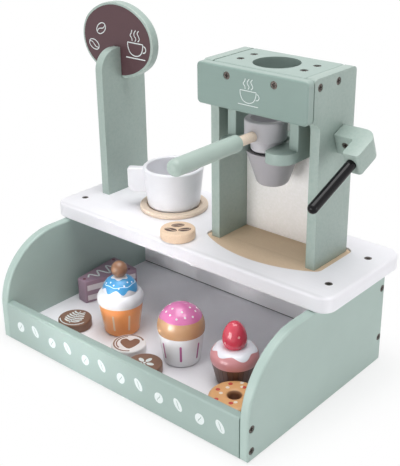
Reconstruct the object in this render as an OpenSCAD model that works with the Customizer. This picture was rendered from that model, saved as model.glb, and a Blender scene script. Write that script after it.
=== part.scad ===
// Wooden play coffee bar.  An open tray case carries a counter, and on the counter
// stand a coffee machine and a shop sign.  The machine's filter holder slides out of
// a fork, and its lever turns on a dowel.  Cup, coaster, discs and cakes are loose.
// Millimetres, +Z up.  The origin is the middle of the front board's bottom face,
// and the front looks to -Y.

/* [Case] */
// Width over the two side panels
case_w = 300; // [270:1:340]
// Depth of the case, front to back
case_d = 196; // [190:1:230]
// Height of the side panels and of the back panel
case_h = 96.5; // [90:0.5:115]
// Thickness of the case boards
board_t = 9; // [8:0.5:12]
// Rounding of the board edges
edge_r = 2; // [0.5:0.5:3]
// Height of the low front board
front_board_h = 38.5; // [28:0.5:50]
// Height of the straight front edge of a side panel
side_front_h = 32.5; // [25:0.5:45]
// Thickness of the floor sheet
floor_t = 5; // [3:0.5:6]
// Height of the floor sheet's underside
floor_z = 7.2; // [4:0.2:10]
// Depth of the groove that holds the floor sheet
groove_d = 2.5; // [1.5:0.1:3]

/* [Counter] */
// Thickness of the counter
counter_t = 14.7; // [12:0.1:20]
// Front edge of the counter behind the front of the case
counter_set_back = 84; // [70:1:95]
// Overhang of the counter at each side
counter_side_over = 12; // [4:1:20]
// Overhang of the counter at the back
counter_back_over = 6; // [0:1:20]
// Corner radius of the counter in plan
counter_r = 13; // [6:1:25]
// Rounding of the counter's edges
counter_edge_r = 2.5; // [1:0.5:4]
// Depth of the pocket for the machine's base plate
pocket_d = 5; // [4:0.5:8]
// Gap between the base plate and the pocket's wall
pocket_gap = 0.5; // [0.2:0.1:1]

/* [Machine body] */
// Machine's centre, to the right of the case's centre
machine_x = 66; // [50:1:75]
// Front of the posts behind the front of the case
machine_y = 123.5; // [118:0.5:130]
// Width over the two posts
machine_w = 112; // [104:1:125]
// Height of the machine above the counter
machine_h = 163.8; // [150:0.1:190]
// Thickness of the machine's boards
wall_t = 9; // [8:0.5:10]
// Depth of a post, front to back
post_d = 49.5; // [49:0.5:60]
// Corner radius of the posts at the top
post_r = 4; // [2:0.5:8]
// Height of the head above its underside
head_h = 35.6; // [30:0.1:42]
// Reach of the head in front of the posts
head_reach = 9.5; // [6:0.5:14]
// Corner radius of the head's front board
head_r = 4; // [3:0.5:7]
// Thickness of the top plate
top_t = 15; // [12:0.5:18]
// Radius of the filling hole in the top plate
hole_r = 20; // [14:0.5:22]
// Centre of the filling hole behind the front of the posts
hole_back = 17.5; // [14:0.5:20]
// Back of the machine's back panel in front of the back of the posts
back_inset = 1.5; // [0:0.5:3]
// Thickness of the base plate
plate_t = 3.5; // [2.5:0.5:4]
// Base plate beside the posts
plate_side = 6; // [4:0.5:10]
// Base plate behind the posts
plate_back = 4; // [2:0.5:8]
// Bow of the base plate in front of the posts
plate_bow = 19.5; // [17:0.5:25]
// Radius of the base plate's bowed front
bow_r = 115; // [105:1:130]
// Corner radius of the base plate
plate_r = 8; // [5:0.5:12]

/* [Fork and spout] */
// Clear height between the counter and the fork
cup_space = 90.8; // [80:0.1:94]
// Thickness of the fork
fork_t = 9; // [8:0.5:10]
// Reach of the fork in front of the posts
fork_reach = 19.5; // [17:0.5:22]
// Width over the two cheeks
cheeks_w = 73; // [72:0.5:78]
// Rounding of the cheeks' upright edges
cheek_edge_r = 1; // [0.5:0.5:3]
// Reach of the cheeks in front of the posts
cheek_reach = 1.5; // [0:0.5:4]
// Width of the slot between the prongs
slot_w = 27; // [26:0.5:30]
// Radius of the prongs' outer corners
prong_r = 14; // [8:0.5:15]
// Radius of the prongs' inner noses
nose_r = 8; // [3:0.5:8]
// Radius of the spout bowl at its rim
bowl_r = 23.7; // [21:0.1:24.5]
// Gap between the spout bowl and the machine's back panel
bowl_gap = 0.3; // [0.2:0.1:1]
// Height of the spout bowl
bowl_h = 31.5; // [26:0.5:34]
// Radius of the spout bowl at its foot
bowl_foot_r = 13; // [12:0.5:16]
// Rounding of the bowl's foot
bowl_foot_round = 6; // [2:0.5:6]
// Wall of the spout bowl
bowl_wall = 4; // [3:0.5:6]

/* [Filter holder] */
// Radius of the filter drum
drum_r = 18; // [16:0.5:19]
// Height of the filter drum above the fork
drum_h = 20.3; // [18:0.1:24]
// Rounding of the drum's rims
drum_edge_r = 1.5; // [0.5:0.5:3]
// Overlap of the drum's collar on each prong
collar_rest = 1.2; // [1:0.1:1.5]
// Height of the collar
collar_h = 3; // [2:0.5:3.5]
// Wall of the drum round its well
drum_wall = 5; // [4.8:0.1:8]
// Depth of the drum's well
well_d = 12; // [8:0.5:14]
// Gap between the spigot and each side of the slot
spigot_gap = 0.9; // [0.3:0.1:2]
// Length of the spigot under the drum
spigot_h = 7.5; // [3:0.5:8]
// Rounding of the spigot's foot
spigot_foot_round = 3; // [1:0.5:3]
// Rest place of the drum in front of its seat
drum_out = 11; // [0:0.5:20]
// Gap between the drum and the fork
slide_gap = 0.2; // [0.1:0.1:0.4]
// Radius of the handle's dowel
dowel_r = 4.3; // [3:0.1:5]
// Wood under the dowel's hole in the drum
dowel_floor = 0.9; // [0.6:0.1:2]
// Bare dowel between the drum and the grip
dowel_show = 19.5; // [12:0.5:24]
// Dowel inside the drum's wall
dowel_in_drum = 3.5; // [2.5:0.1:3.6]
// Dowel inside the grip
dowel_in_grip = 15; // [8:1:30]
// Radius of the grip
grip_r = 7; // [5:0.5:7.2]
// Length of the grip
grip_l = 79; // [60:1:95]
// Rounding of the grip's free end
grip_end_r = 6; // [3:0.5:6]
// Rounding of the grip's end at the dowel
grip_back_r = 2; // [1:0.5:2]

/* [Lever] */
// Tilt of the lever, rod down
lever_tilt = 22; // [0:1:60]
// Lever pivot behind the front of the posts
pivot_back = 30; // [26:0.5:33]
// Lever pivot below the top of the machine
pivot_drop = 56.4; // [50:0.1:59]
// Length of the lever block along its pivot
hub_l = 33; // [29:0.5:45]
// Width of the hub, across the pivot
hub_w = 15; // [13:0.5:18]
// Width of the arm that carries the rod
arm_w = 14.6; // [12:0.1:15]
// Length of the arm in front of the hub
arm_l = 18; // [10:0.5:26]
// Height of the lever block
block_h = 18.5; // [15:0.5:22]
// Radius of the lever block's outer back corner
block_r = 12.5; // [4:0.5:13]
// Rounding of the lever block's other corners
block_edge_r = 2.5; // [1:0.5:4]
// Radius of the lever's rod
rod_r = 4.4; // [3:0.1:5]
// Length of the rod in front of the arm
rod_show = 59.5; // [35:0.5:70]
// Length of the rod inside the arm
rod_in = 15; // [8:0.5:16]
// Radius of the lever's axle
axle_r = 5; // [4:0.5:6]
// Radial clearance of the axle in the post
axle_gap = 0.1; // [0.05:0.05:0.3]
// Wood of the hub beyond the axle's end
axle_cover = 8; // [6:0.5:14]
// Radius of the axle's retaining head
axle_head_r = 9; // [7:0.5:10]
// Thickness of the axle's retaining head
axle_head_t = 4; // [3:0.5:6]
// Side play of the lever at each face of the post
side_play = 0.3; // [0.2:0.1:0.6]

/* [Sign] */
// Sign post's centre, to the left of the case's centre
sign_x = 136; // [120:1:138]
// Front of the sign post behind the front of the case
sign_y = 129.4; // [115:0.1:135]
// Thickness of the sign post and the sign board
sign_t = 9; // [6:0.5:11]
// Depth of the sign post
sign_post_d = 57.3; // [50:0.1:65]
// Height of the sign post above the counter
sign_post_h = 145.8; // [120:0.1:160]
// Corner radius of the sign post's top
sign_post_r = 20; // [8:0.5:22]
// Width of the oval board
oval_w = 95.4; // [80:0.2:120]
// Height of the oval board
oval_h = 73; // [60:0.5:85]
// Radius of the oval's narrow ends
oval_end_r = 30; // [25:0.5:36]
// Height of the oval's centre above the counter
oval_z = 151.8; // [140:0.1:170]
// Front face of the oval board behind the sign post's front
oval_back = 25.6; // [20:0.1:28]
// Play in the cross lap joint
lap_gap = 0.1; // [0.1:0.05:0.3]

/* [Screws] */
// Radius of a screw's shank
screw_r = 1.5; // [1.2:0.1:1.8]
// Radius of a screw's head
screw_head_r = 3.3; // [2.6:0.1:3.8]
// Depth of a screw's head below the surface
screw_sink = 0.4; // [0.2:0.1:0.8]
// Length of the case screws
case_screw_l = 28; // [20:1:40]
// Length of the counter screws
counter_screw_l = 32; // [24:1:40]
// Length of the head screws
head_screw_l = 25; // [18:1:26]
// Length of the base, sign and fork screws
base_screw_l = 28; // [22:1:36]
// Length of the lever's cross screw
lever_screw_l = 12; // [6:0.5:13]

/* [Cup and coaster] */
// Radius of the coaster
coaster_r = 33.2; // [32:0.1:36]
// Thickness of the coaster
coaster_t = 4.5; // [4:0.5:8]
// Depth of the coaster's recess
coaster_recess = 2.5; // [1:0.5:2.5]
// Gap round the cup's foot in the recess
coaster_play = 1.7; // [0.5:0.1:3]
// Radius of the cup at its foot
cup_foot_r = 25; // [22:0.5:26]
// Radius of the cup at its rim
cup_rim_r = 29.3; // [25:0.1:29.5]
// Height of the cup
cup_h = 41; // [34:0.5:50]
// Wall of the cup
cup_wall = 4; // [3.8:0.1:7]
// Rounding of the cup's foot
cup_foot_round = 5; // [2:0.5:6]
// Reach of the cup's handle from the cup's axis
handle_reach = 44.5; // [40:0.5:50]
// Thickness of the cup's handle
handle_t = 9; // [6:0.5:11]
// Height of the cup's handle
handle_h = 25; // [14:0.5:26]
// Top of the handle below the cup's rim
handle_drop = 3; // [2.5:0.5:6]
// Radius of the handle's upper corner
handle_top_r = 2; // [1:0.5:6]
// Radius of the handle's lower corner
handle_low_r = 8; // [2:0.5:8]
// Depth of the handle's seat in the cup's wall
handle_seat = 2; // [1.5:0.1:2.5]
// Direction of the handle, turned from +X
handle_turn = 213; // [180:1:250]

/* [Discs, cakes and ring] */
// Radius of a coffee disc
disc_r = 16; // [13:0.5:16]
// Thickness of a coffee disc
disc_t = 9; // [6:0.5:12]
// Rounding of a disc's edges
disc_edge_r = 1.5; // [0.5:0.5:3]
// Outer radius of the ring cake
ring_r = 22; // [19:0.5:22]
// Hole radius of the ring cake
ring_hole_r = 5; // [4:0.5:9]
// Thickness of the ring cake
ring_t = 13.5; // [8:0.5:15]
// Rounding of the ring cake's section
ring_round = 4; // [2:0.1:4]
// Length of the cake slice
slice_l = 57; // [45:1:58]
// Width of the cake slice at its wide end
slice_w = 39; // [28:1:41]
// Width of the cake slice at its nose
slice_nose = 13; // [8:1:16]
// Height of the cake slice
slice_h = 24; // [18:0.5:30]
// Rounding of the cake slice's upright edges
slice_round = 2; // [1:0.5:3]

/* [Nut cupcake] */
// Radius of the case at its foot
nut_foot_r = 16.5; // [14:0.5:17]
// Radius of the case at its rim
nut_rim_r = 21; // [18:0.5:21]
// Height of the case
nut_case_h = 31; // [22:0.5:34]
// Radius of the icing's ring at its widest
nut_icing_r = 22.1; // [21.5:0.1:22.3]
// Height of the ring's widest line above the case
nut_bulge_z = 3.5; // [2:0.5:5]
// Radius of the ring's section
nut_ring_r = 8.5; // [6:0.5:10]
// Radius of the mound on the ring
nut_mound_r = 17; // [14:0.5:18]
// Radius of the arc of the mound's side
nut_mound_arc_r = 15; // [14.5:0.5:17]
// Height of the mound's widest line above the case
nut_mound_z = 10.6; // [9:0.1:12]
// Height of the icing
nut_icing_h = 25.4; // [23:0.1:25.6]
// Radius of the nut
nut_r = 7.7; // [6:0.1:9]

/* [Dome cupcake] */
// Radius of the case at its foot
dome_foot_r = 16.5; // [14:0.5:17]
// Radius of the case at its rim
dome_rim_r = 21; // [17:0.5:21]
// Height of the case
dome_case_h = 30.5; // [22:0.5:34]
// Radius of the dome
dome_r = 21.4; // [21.1:0.1:21.6]

/* [Berry cupcake] */
// Radius of the case at its foot
berry_foot_r = 15.5; // [13:0.5:16]
// Radius of the case at its rim
berry_rim_r = 20.4; // [17:0.1:20.4]
// Height of the case
berry_case_h = 20.8; // [14:0.1:24]
// Radius of the icing at its widest
berry_icing_r = 21.2; // [20.6:0.1:21.4]
// Height of the icing
berry_icing_h = 13.8; // [12:0.1:16]
// Rounding of the icing's shoulder
berry_icing_round = 10; // [6:0.5:11]
// Radius of the berry
berry_r = 10.8; // [9:0.1:11.5]
// Length of the berry above its widest line
berry_tip = 16.8; // [13:0.1:18]

/* [Hidden] */
$fn = 72;

// Margin by which a cut runs past a face
over = 1;
// Clearance between a glued or screwed piece and its hole
fit = 0.1;

// Paints
sage = [0.60, 0.70, 0.66];
white_paint = [0.93, 0.93, 0.94];
pale_grey = [0.78, 0.78, 0.79];
bare_wood = [0.86, 0.78, 0.70];
tan_board = [0.74, 0.66, 0.55];
grey_wood = [0.60, 0.59, 0.61];
black_paint = [0.06, 0.06, 0.07];
dark_steel = [0.20, 0.19, 0.18];
coffee = [0.42, 0.28, 0.22];

// Levels and planes; y counts from the front of the case
inner_x = case_w / 2 - board_t;
side_r = case_h - side_front_h;
floor_top = floor_z + floor_t;
counter_top_z = case_h + counter_t;
counter_w = case_w + 2 * counter_side_over;
counter_d = case_d - counter_set_back + counter_back_over;
plate_z = counter_top_z - pocket_d;
post_z = plate_z + plate_t;
machine_top = counter_top_z + machine_h;
head_z = machine_top - head_h;
top_z = machine_top - top_t;
post_in = machine_w / 2 - wall_t;
back_y = machine_y + post_d - back_inset - wall_t;
fork_z = counter_top_z + cup_space;
fork_top = fork_z + fork_t;
seat_y = back_y - bowl_gap - bowl_r;
drum_y = seat_y - drum_out;
drum_z = fork_top + slide_gap;
handle_axis_z = drum_z + collar_h + dowel_floor + fit + dowel_r;
well_r = drum_r - drum_wall;
collar_r = slot_w / 2 + collar_rest;
spigot_r = slot_w / 2 - spigot_gap;
grip_y = drum_y - drum_r - dowel_show;
pivot_y = machine_y + pivot_back;
pivot_z = machine_top - pivot_drop;
lever_x = machine_x + machine_w / 2 + side_play;
arm_x = hub_l - arm_w;
axle_in = hub_l - axle_cover;
oval_y = sign_y + oval_back;
lap_z = counter_top_z + (sign_post_h + oval_z - oval_h / 2) / 2;
cup_z = counter_top_z + coaster_t - coaster_recess;
handle_z = cup_h - handle_drop - handle_h;
screw_head_h = screw_head_r - screw_r;
screw_tip_h = 2 * screw_r;
screw_slot_l = 4;
screw_slot_w = 1;
screw_slot_d = 1.2;

// Screw places; each list holds [x, y, z] of the hole's mouth
front_screws = [9.8, 30.2];
back_screws = [24.9, 74.8];
case_side_at = concat([for (z = front_screws) [board_t / 2, z]],
    [for (z = back_screws) [case_d - board_t / 2, z]]);
counter_screw_y = [110, 170.5];
top_screw_back = [10, 28.5];
side_screw_back = [-2, 23.6];
front_screw_x = 23.7;
base_screw_back = [10, 39.5];
sign_screw_back = [14, 43.3];
fork_screw_back = [6.5, 28.5];
cheek_x = cheeks_w / 2 - wall_t / 2;

// Places of the loose pieces, [x, y] behind the front of the case.  Those in the tray
// keep their share of the way from its middle to its side.
function in_tray(share, y) = [share * inner_x, y];
cup_at = [-60, 149];
bean_disc_at = [-9.4, 98.7];
leaf_disc_at = in_tray(-0.674, 43);
heart_disc_at = in_tray(-0.156, 43);
flower_disc_at = in_tray(0.085, 28.5);
ring_at = in_tray(0.7557, 37.1);
slice_at = in_tray(-0.8887, 79.5);
slice_turn = -6;
nut_cupcake_at = in_tray(-0.3979, 67.8);
dome_cupcake_at = in_tray(0.1624, 65.3);
berry_cupcake_at = ring_at + [-25.8, 32.1];

// Rounding at the foot of each cupcake case
case_foot_round = 3;
// Share of the nut's radius between its middle and its flat seat
nut_seat = 0.97;
// Radius of the berry's tip, and its flat seat's depth below its widest line
berry_tip_r = 7.3;
berry_seat = 6.6;
// Rounding of the coaster's edges
coaster_edge_r = 1.5;

// ---------------------------------------------------------------- outlines

// Rectangle with rounded corners, from its lower left corner
module soft_rect(w, h, r) {
    translate([r, 0]) square([w - 2 * r, h]);
    translate([0, r]) square([w, h - 2 * r]);
    for (x = [r, w - r], y = [r, h - r]) translate([x, y]) circle(r);
}

// The waste outside a rounded corner; quadrant 0 to 3 points into the board,
// and m is how far the waste runs past the corner
module spandrel(at, quadrant, r, m = 0) {
    translate(at) rotate(90 * quadrant) difference() {
        translate([-m, -m]) square(r + m);
        translate([r, r]) circle(r);
    }
}

// Direction of the straight from a to b
function heading(a, b) = atan2(b[1] - a[1], b[0] - a[0]);

// Convex outline with rounded corners about the points p, given anticlockwise;
// each corner is an arc drawn with short straights
module soft_polygon(p, r) {
    n = len(p);
    steps = 6;
    polygon([for (i = [0:n - 1], k = [0:steps]) let (
        start = heading(p[(i + n - 1) % n], p[i]) - 90,
        turn = (heading(p[i], p[(i + 1) % n]) - 90 - start + 720) % 360,
        a = start + turn * k / steps) p[i] + r * [cos(a), sin(a)]]);
}

// Oval of four arcs, centred; end_r is the radius of its narrow ends
module oval(w, h, end_r) {
    c = w / 2 - end_r;
    k = h / 2 - end_r;
    s = (c * c - k * k) / (2 * k);
    side_arc = h / 2 + s;
    tangent_x = c * side_arc / (side_arc - end_r);
    for (x = [-c, c]) translate([x, 0]) circle(end_r);
    intersection() {
        translate([0, -s]) circle(side_arc);
        translate([0, s]) circle(side_arc);
        square([2 * tangent_x, h], center = true);
    }
}

// Plan of the machine's base plate about the middle of the posts' front,
// drawn smaller by e all round
module base_plan(e) {
    half_w = machine_w / 2 + plate_side - e;
    r = plate_r - e;
    corner_x = half_w - r;
    arc_y = bow_r - plate_bow;
    corner_y = arc_y - sqrt(pow(bow_r - plate_r, 2) - pow(corner_x, 2));
    rear = post_d + plate_back - e;
    reach = 2 * bow_r / (bow_r - plate_r);
    intersection() {
        translate([0, arc_y]) circle(bow_r - e);
        polygon([[0, arc_y], [-reach * corner_x, arc_y + reach * (corner_y - arc_y)],
            [reach * corner_x, arc_y + reach * (corner_y - arc_y)]]);
        translate([-half_w, rear - bow_r]) square([2 * half_w, bow_r]);
    }
    translate([-half_w, corner_y]) square([2 * half_w, rear - r - corner_y]);
    translate([-corner_x, corner_y]) square([2 * corner_x, rear - corner_y]);
    for (x = [-corner_x, corner_x], y = [corner_y, rear - r]) translate([x, y]) circle(r);
}

// Half section of a turned case that widens upward and has a rounded foot
module case_section(foot_r, rim_r, h, r) {
    lean = atan((rim_r - foot_r) / h);
    round_x = foot_r - r * (1 - sin(lean)) / cos(lean);
    polygon([[0, 0], [round_x, 0], [round_x + r * cos(lean), r * (1 - sin(lean))],
        [rim_r, h], [0, h]]);
    translate([round_x, r]) circle(r);
}

// Half section of the hollow of such a case: its side lies a wall inside the case's
// side, its floor a wall above the foot, and it runs out past the rim
module hollow_section(foot_r, rim_r, h, wall, r) {
    flare = (rim_r - foot_r) / h;
    translate([0, wall]) case_section(foot_r + flare * wall - wall,
        rim_r + flare * over - wall, h - wall + over, r);
}

// Half section of a turned bar, its rims rounded by foot at height 0 and by head at l
module soft_bar_section(r, l, foot, head) {
    intersection() {
        translate([-r, 0]) soft_rect(2 * r, l + foot, foot);
        translate([-r, -head]) soft_rect(2 * r, l + head, head);
        square([r, l]);
    }
}

// Half section of an egg: widest radius r at height 0, pole at h, tip radius tip_r
module egg_section(r, h, tip_r) {
    c = h - tip_r;
    d = r - tip_r;
    a = (c * c - d * d) / (2 * d);
    intersection() {
        union() {
            intersection() {
                translate([-a, 0]) circle(r + a);
                polygon([[-a, 0], [2 * r, 0], [2 * r, c * (2 * r + a) / a]]);
            }
            translate([0, c]) circle(tip_r);
        }
        square([r, h]);
    }
}

// ------------------------------------------------------------------ solids

// Extrusions along the axes: a (y, z), an (x, z) and an (x, y) outline
module run_x(x, l) { translate([x, 0, 0]) rotate([90, 0, 90]) linear_extrude(l) children(); }
module run_y(y, l) { translate([0, y + l, 0]) rotate([90, 0, 0]) linear_extrude(l) children(); }
module run_z(z, l) { translate([0, 0, z]) linear_extrude(l) children(); }

// Block with all its edges rounded, from its lower left front corner
module soft_block(size, r) {
    intersection() {
        run_x(0, size[0]) soft_rect(size[1], size[2], r);
        run_y(0, size[1]) soft_rect(size[0], size[2], r);
        run_z(0, size[2]) soft_rect(size[0], size[1], r);
    }
}

// Turned disc with rounded edges, standing on z = 0
module soft_disc(radius, t, r) {
    rotate_extrude() intersection() {
        translate([-radius, 0]) soft_rect(2 * radius, t, r);
        square([radius, t]);
    }
}

// Slab with rounded corners in plan and rounded edges all round
module soft_slab(w, d, t, corner, r) {
    run_x(corner, w - 2 * corner) soft_rect(d, t, r);
    run_y(corner, d - 2 * corner) soft_rect(w, t, r);
    for (x = [corner, w - corner], y = [corner, d - corner])
        translate([x, y, 0]) soft_disc(corner, t, r);
}

// Countersunk cross-head screw along -Z, its head flush with z = 0
module screw(l) {
    difference() {
        rotate_extrude() polygon([[0, 0], [screw_head_r, 0], [screw_r, -screw_head_h],
            [screw_r, screw_tip_h - l], [0, -l]]);
        for (a = [0, 90]) rotate(a)
            translate([-screw_slot_l / 2, -screw_slot_w / 2, -screw_slot_d])
                cube([screw_slot_l, screw_slot_w, screw_slot_d + over]);
    }
}

// Hole for a screw, with the recess above its sunk head
module screw_hole(l) {
    r = screw_r + fit;
    head = screw_head_r + fit;
    rotate_extrude() polygon([[0, over], [head, over], [head, -screw_sink],
        [r, -screw_sink - screw_head_h], [r, -screw_sink - l - fit],
        [0, -screw_sink - l - fit]]);
}

module sunk_screw(l) { translate([0, 0, -screw_sink]) screw(l); }

// Everything is drawn with y counted from the front of the case
module on_case() { translate([0, -board_t / 2, 0]) children(); }

// ------------------------------------------------------------ screw places

module at_case_screws() {
    for (side = [-1, 1], p = case_side_at)
        translate([side * case_w / 2, p[0], p[1]]) rotate([0, side * 90, 0]) children();
}

module at_counter_screws() {
    for (side = [-1, 1], y = counter_screw_y)
        translate([side * (case_w / 2 - board_t / 2), y, counter_top_z]) children();
}

// Top plate to cheeks, posts to top plate, and front board to top plate
module at_top_screws() {
    for (side = [-1, 1], b = top_screw_back)
        translate([machine_x + side * cheek_x, machine_y + b, machine_top]) children();
}

module at_side_screws() {
    for (side = [-1, 1], b = side_screw_back)
        translate([machine_x + side * machine_w / 2, machine_y + b, machine_top - top_t / 2])
            rotate([0, side * 90, 0]) children();
}

module at_front_screws() {
    for (side = [-1, 1])
        translate([machine_x + side * front_screw_x, machine_y - head_reach - wall_t,
            machine_top - top_t / 2]) rotate([90, 0, 0]) children();
}

module at_base_screws() {
    for (side = [-1, 1], b = base_screw_back)
        translate([machine_x + side * (machine_w / 2 - wall_t / 2), machine_y + b, case_h])
            rotate([180, 0, 0]) children();
}

module at_sign_screws() {
    for (b = sign_screw_back)
        translate([-sign_x, sign_y + b, case_h]) rotate([180, 0, 0]) children();
}

module at_fork_screws() {
    for (side = [-1, 1], b = fork_screw_back)
        translate([machine_x + side * cheek_x, machine_y + b, fork_z])
            rotate([180, 0, 0]) children();
}

// ---------------------------------------------------------------- the case

// Floor sheet in its grooves, drawn larger by e at its edges and on top
module floor_sheet(e) {
    inset = board_t - groove_d + fit - e;
    translate([-case_w / 2 + inset, inset, floor_z])
        cube([case_w - 2 * inset, case_d - 2 * inset, floor_t + e]);
}

// Side panel whose front rises in a quarter circle to the counter
module side_panel(x) {
    color(sage) on_case() difference() {
        translate([x, 0, 0]) union() {
            intersection() {
                soft_block([board_t, case_d, case_h], edge_r);
                union() {
                    cube([board_t, case_d, side_front_h]);
                    translate([0, side_r, 0]) cube([board_t, case_d - side_r, case_h]);
                }
            }
            intersection() {
                translate([0, side_r, side_front_h]) rotate([0, 90, 0])
                    soft_disc(side_r, board_t, edge_r);
                translate([0, 0, side_front_h]) cube([board_t, side_r, side_r]);
            }
        }
        floor_sheet(fit);
        at_case_screws() screw_hole(case_screw_l);
        at_counter_screws() screw_hole(counter_screw_l);
    }
}

module side_panel_left() { side_panel(-case_w / 2); }

module side_panel_right() { side_panel(inner_x); }

module front_board() {
    color(sage) on_case() difference() {
        run_x(-inner_x, 2 * inner_x) soft_rect(board_t, front_board_h, edge_r);
        floor_sheet(fit);
        at_case_screws() screw_hole(case_screw_l);
    }
}

module back_panel() {
    color(pale_grey) on_case() difference() {
        run_x(-inner_x, 2 * inner_x) translate([case_d - board_t, 0])
            soft_rect(board_t, case_h, edge_r);
        floor_sheet(fit);
        at_case_screws() screw_hole(case_screw_l);
    }
}

module floor_panel() {
    color(pale_grey) on_case() floor_sheet(0);
}

module counter_top() {
    color(white_paint) on_case() difference() {
        translate([-counter_w / 2, counter_set_back, case_h])
            soft_slab(counter_w, counter_d, counter_t, counter_r, counter_edge_r);
        translate([machine_x, machine_y, 0]) run_z(plate_z, pocket_d + over) base_plan(0);
        at_counter_screws() screw_hole(counter_screw_l);
        at_base_screws() screw_hole(base_screw_l);
        at_sign_screws() screw_hole(base_screw_l);
    }
}

// ------------------------------------------------------------- the machine

module machine_base() {
    color(tan_board) on_case() difference() {
        translate([machine_x, machine_y, 0]) run_z(plate_z, plate_t) base_plan(pocket_gap);
        at_base_screws() screw_hole(base_screw_l);
    }
}

// Side outline of a post: the head steps forward over a concave quarter round
module post_outline() {
    difference() {
        union() {
            translate([0, post_z]) square([post_d, machine_top - post_z]);
            translate([-head_reach, head_z]) square([head_reach + over, head_h]);
            spandrel([0, head_z], 2, head_reach);
        }
        spandrel([-head_reach, machine_top], 3, post_r, over);
        spandrel([post_d, machine_top], 2, post_r, over);
    }
}

module machine_post(x) {
    run_x(machine_x + x, wall_t) translate([machine_y, 0]) post_outline();
}

module machine_post_left() {
    color(sage) on_case() difference() {
        machine_post(-machine_w / 2);
        at_side_screws() screw_hole(head_screw_l);
        at_base_screws() screw_hole(base_screw_l);
    }
}

module machine_post_right() {
    color(sage) on_case() difference() {
        machine_post(post_in);
        at_side_screws() screw_hole(head_screw_l);
        at_base_screws() screw_hole(base_screw_l);
        translate([machine_x + post_in - over, pivot_y, pivot_z]) rotate([0, 90, 0])
            cylinder(h = wall_t + 2 * over, r = axle_r + axle_gap);
    }
}

module machine_back_panel() {
    color(white_paint) on_case() translate([machine_x - post_in, back_y, post_z])
        cube([2 * post_in, wall_t, top_z - post_z]);
}

module head_top_plate() {
    front = machine_y - head_reach;
    color(sage) on_case() difference() {
        translate([machine_x - post_in, front, top_z])
            soft_slab(2 * post_in, back_y + wall_t - front, top_t, head_r, edge_r);
        translate([machine_x, machine_y + hole_back, top_z - over])
            cylinder(h = top_t + 2 * over, r = hole_r);
        at_top_screws() screw_hole(base_screw_l);
        at_side_screws() screw_hole(head_screw_l);
        at_front_screws() screw_hole(head_screw_l);
    }
}

module head_front_board() {
    color(sage) on_case() difference() {
        translate([machine_x - machine_w / 2, machine_y - head_reach, head_z])
            rotate([90, 0, 0]) soft_slab(machine_w, head_h, wall_t, head_r, edge_r);
        at_front_screws() screw_hole(head_screw_l);
    }
}

// Cheek board with rounded upright edges between the fork and the top plate
module cheek(x) {
    color(sage) on_case() difference() {
        translate([machine_x + x, machine_y - cheek_reach, 0])
            run_z(fork_top, top_z - fork_top)
                soft_rect(wall_t, back_y - machine_y + cheek_reach, cheek_edge_r);
        at_top_screws() screw_hole(base_screw_l);
        at_fork_screws() screw_hole(base_screw_l);
    }
}

module cheek_left() { cheek(-cheeks_w / 2); }

module cheek_right() { cheek(cheeks_w / 2 - wall_t); }

// Fork: a plate with an open round-ended slot for the filter's spigot
module fork_plate() {
    color(sage) on_case() difference() {
        translate([machine_x, machine_y, 0]) run_z(fork_z, fork_t) difference() {
            translate([-cheeks_w / 2, -fork_reach])
                square([cheeks_w, back_y - machine_y + fork_reach]);
            translate([0, seat_y - machine_y]) circle(slot_w / 2);
            translate([-slot_w / 2, -fork_reach - over])
                square([slot_w, seat_y - machine_y + fork_reach + over]);
            spandrel([-cheeks_w / 2, -fork_reach], 0, prong_r, over);
            spandrel([cheeks_w / 2, -fork_reach], 1, prong_r, over);
            spandrel([slot_w / 2, -fork_reach], 0, nose_r, over);
            spandrel([-slot_w / 2, -fork_reach], 1, nose_r, over);
        }
        at_fork_screws() screw_hole(base_screw_l);
    }
}

// Bowl under the fork: a cone on a rounded foot, hollow to an even wall
module spout_bowl() {
    color(grey_wood) on_case() translate([machine_x, seat_y, fork_z - bowl_h])
        rotate_extrude() difference() {
            case_section(bowl_foot_r, bowl_r, bowl_h, bowl_foot_round);
            hollow_section(bowl_foot_r, bowl_r, bowl_h, bowl_wall, bowl_foot_round - 1);
        }
}

// ------------------------------------------------------- the filter holder

// Turned drum with a blind well; its collar slides on the fork, and its spigot runs
// in the fork's slot
module filter_drum() {
    color(grey_wood) on_case() difference() {
        translate([machine_x, drum_y, drum_z]) {
            translate([0, 0, collar_h]) soft_disc(drum_r, drum_h - collar_h, drum_edge_r);
            cylinder(h = collar_h + over, r = collar_r);
            translate([0, 0, -spigot_h]) rotate_extrude()
                case_section(spigot_r, spigot_r, spigot_h + over, spigot_foot_round);
        }
        translate([machine_x, drum_y, drum_z + drum_h - well_d])
            cylinder(h = well_d + over, r = well_r);
        translate([machine_x, drum_y - drum_r + dowel_in_drum + fit, handle_axis_z])
            rotate([90, 0, 0]) cylinder(h = drum_r, r = dowel_r + fit);
    }
}

module handle_dowel() {
    color(bare_wood) on_case()
        translate([machine_x, drum_y - drum_r + dowel_in_drum, handle_axis_z])
            rotate([90, 0, 0])
                cylinder(h = dowel_in_drum + dowel_show + dowel_in_grip, r = dowel_r);
}

module handle_grip() {
    color(sage) on_case() difference() {
        translate([machine_x, grip_y, handle_axis_z]) rotate([90, 0, 0])
            rotate_extrude() soft_bar_section(grip_r, grip_l,
                min(grip_back_r, grip_r - dowel_r - fit), min(grip_end_r, grip_r - 1));
        translate([machine_x, grip_y + over, handle_axis_z]) rotate([90, 0, 0])
            cylinder(h = dowel_in_grip + fit + over, r = dowel_r + fit);
    }
}

// --------------------------------------------------------------- the lever

// Lever frame: x runs out from the post, y back along the tilt, z across it
module on_lever() {
    on_case() translate([lever_x, pivot_y, pivot_z]) rotate([lever_tilt, 0, 0]) children();
}

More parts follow.
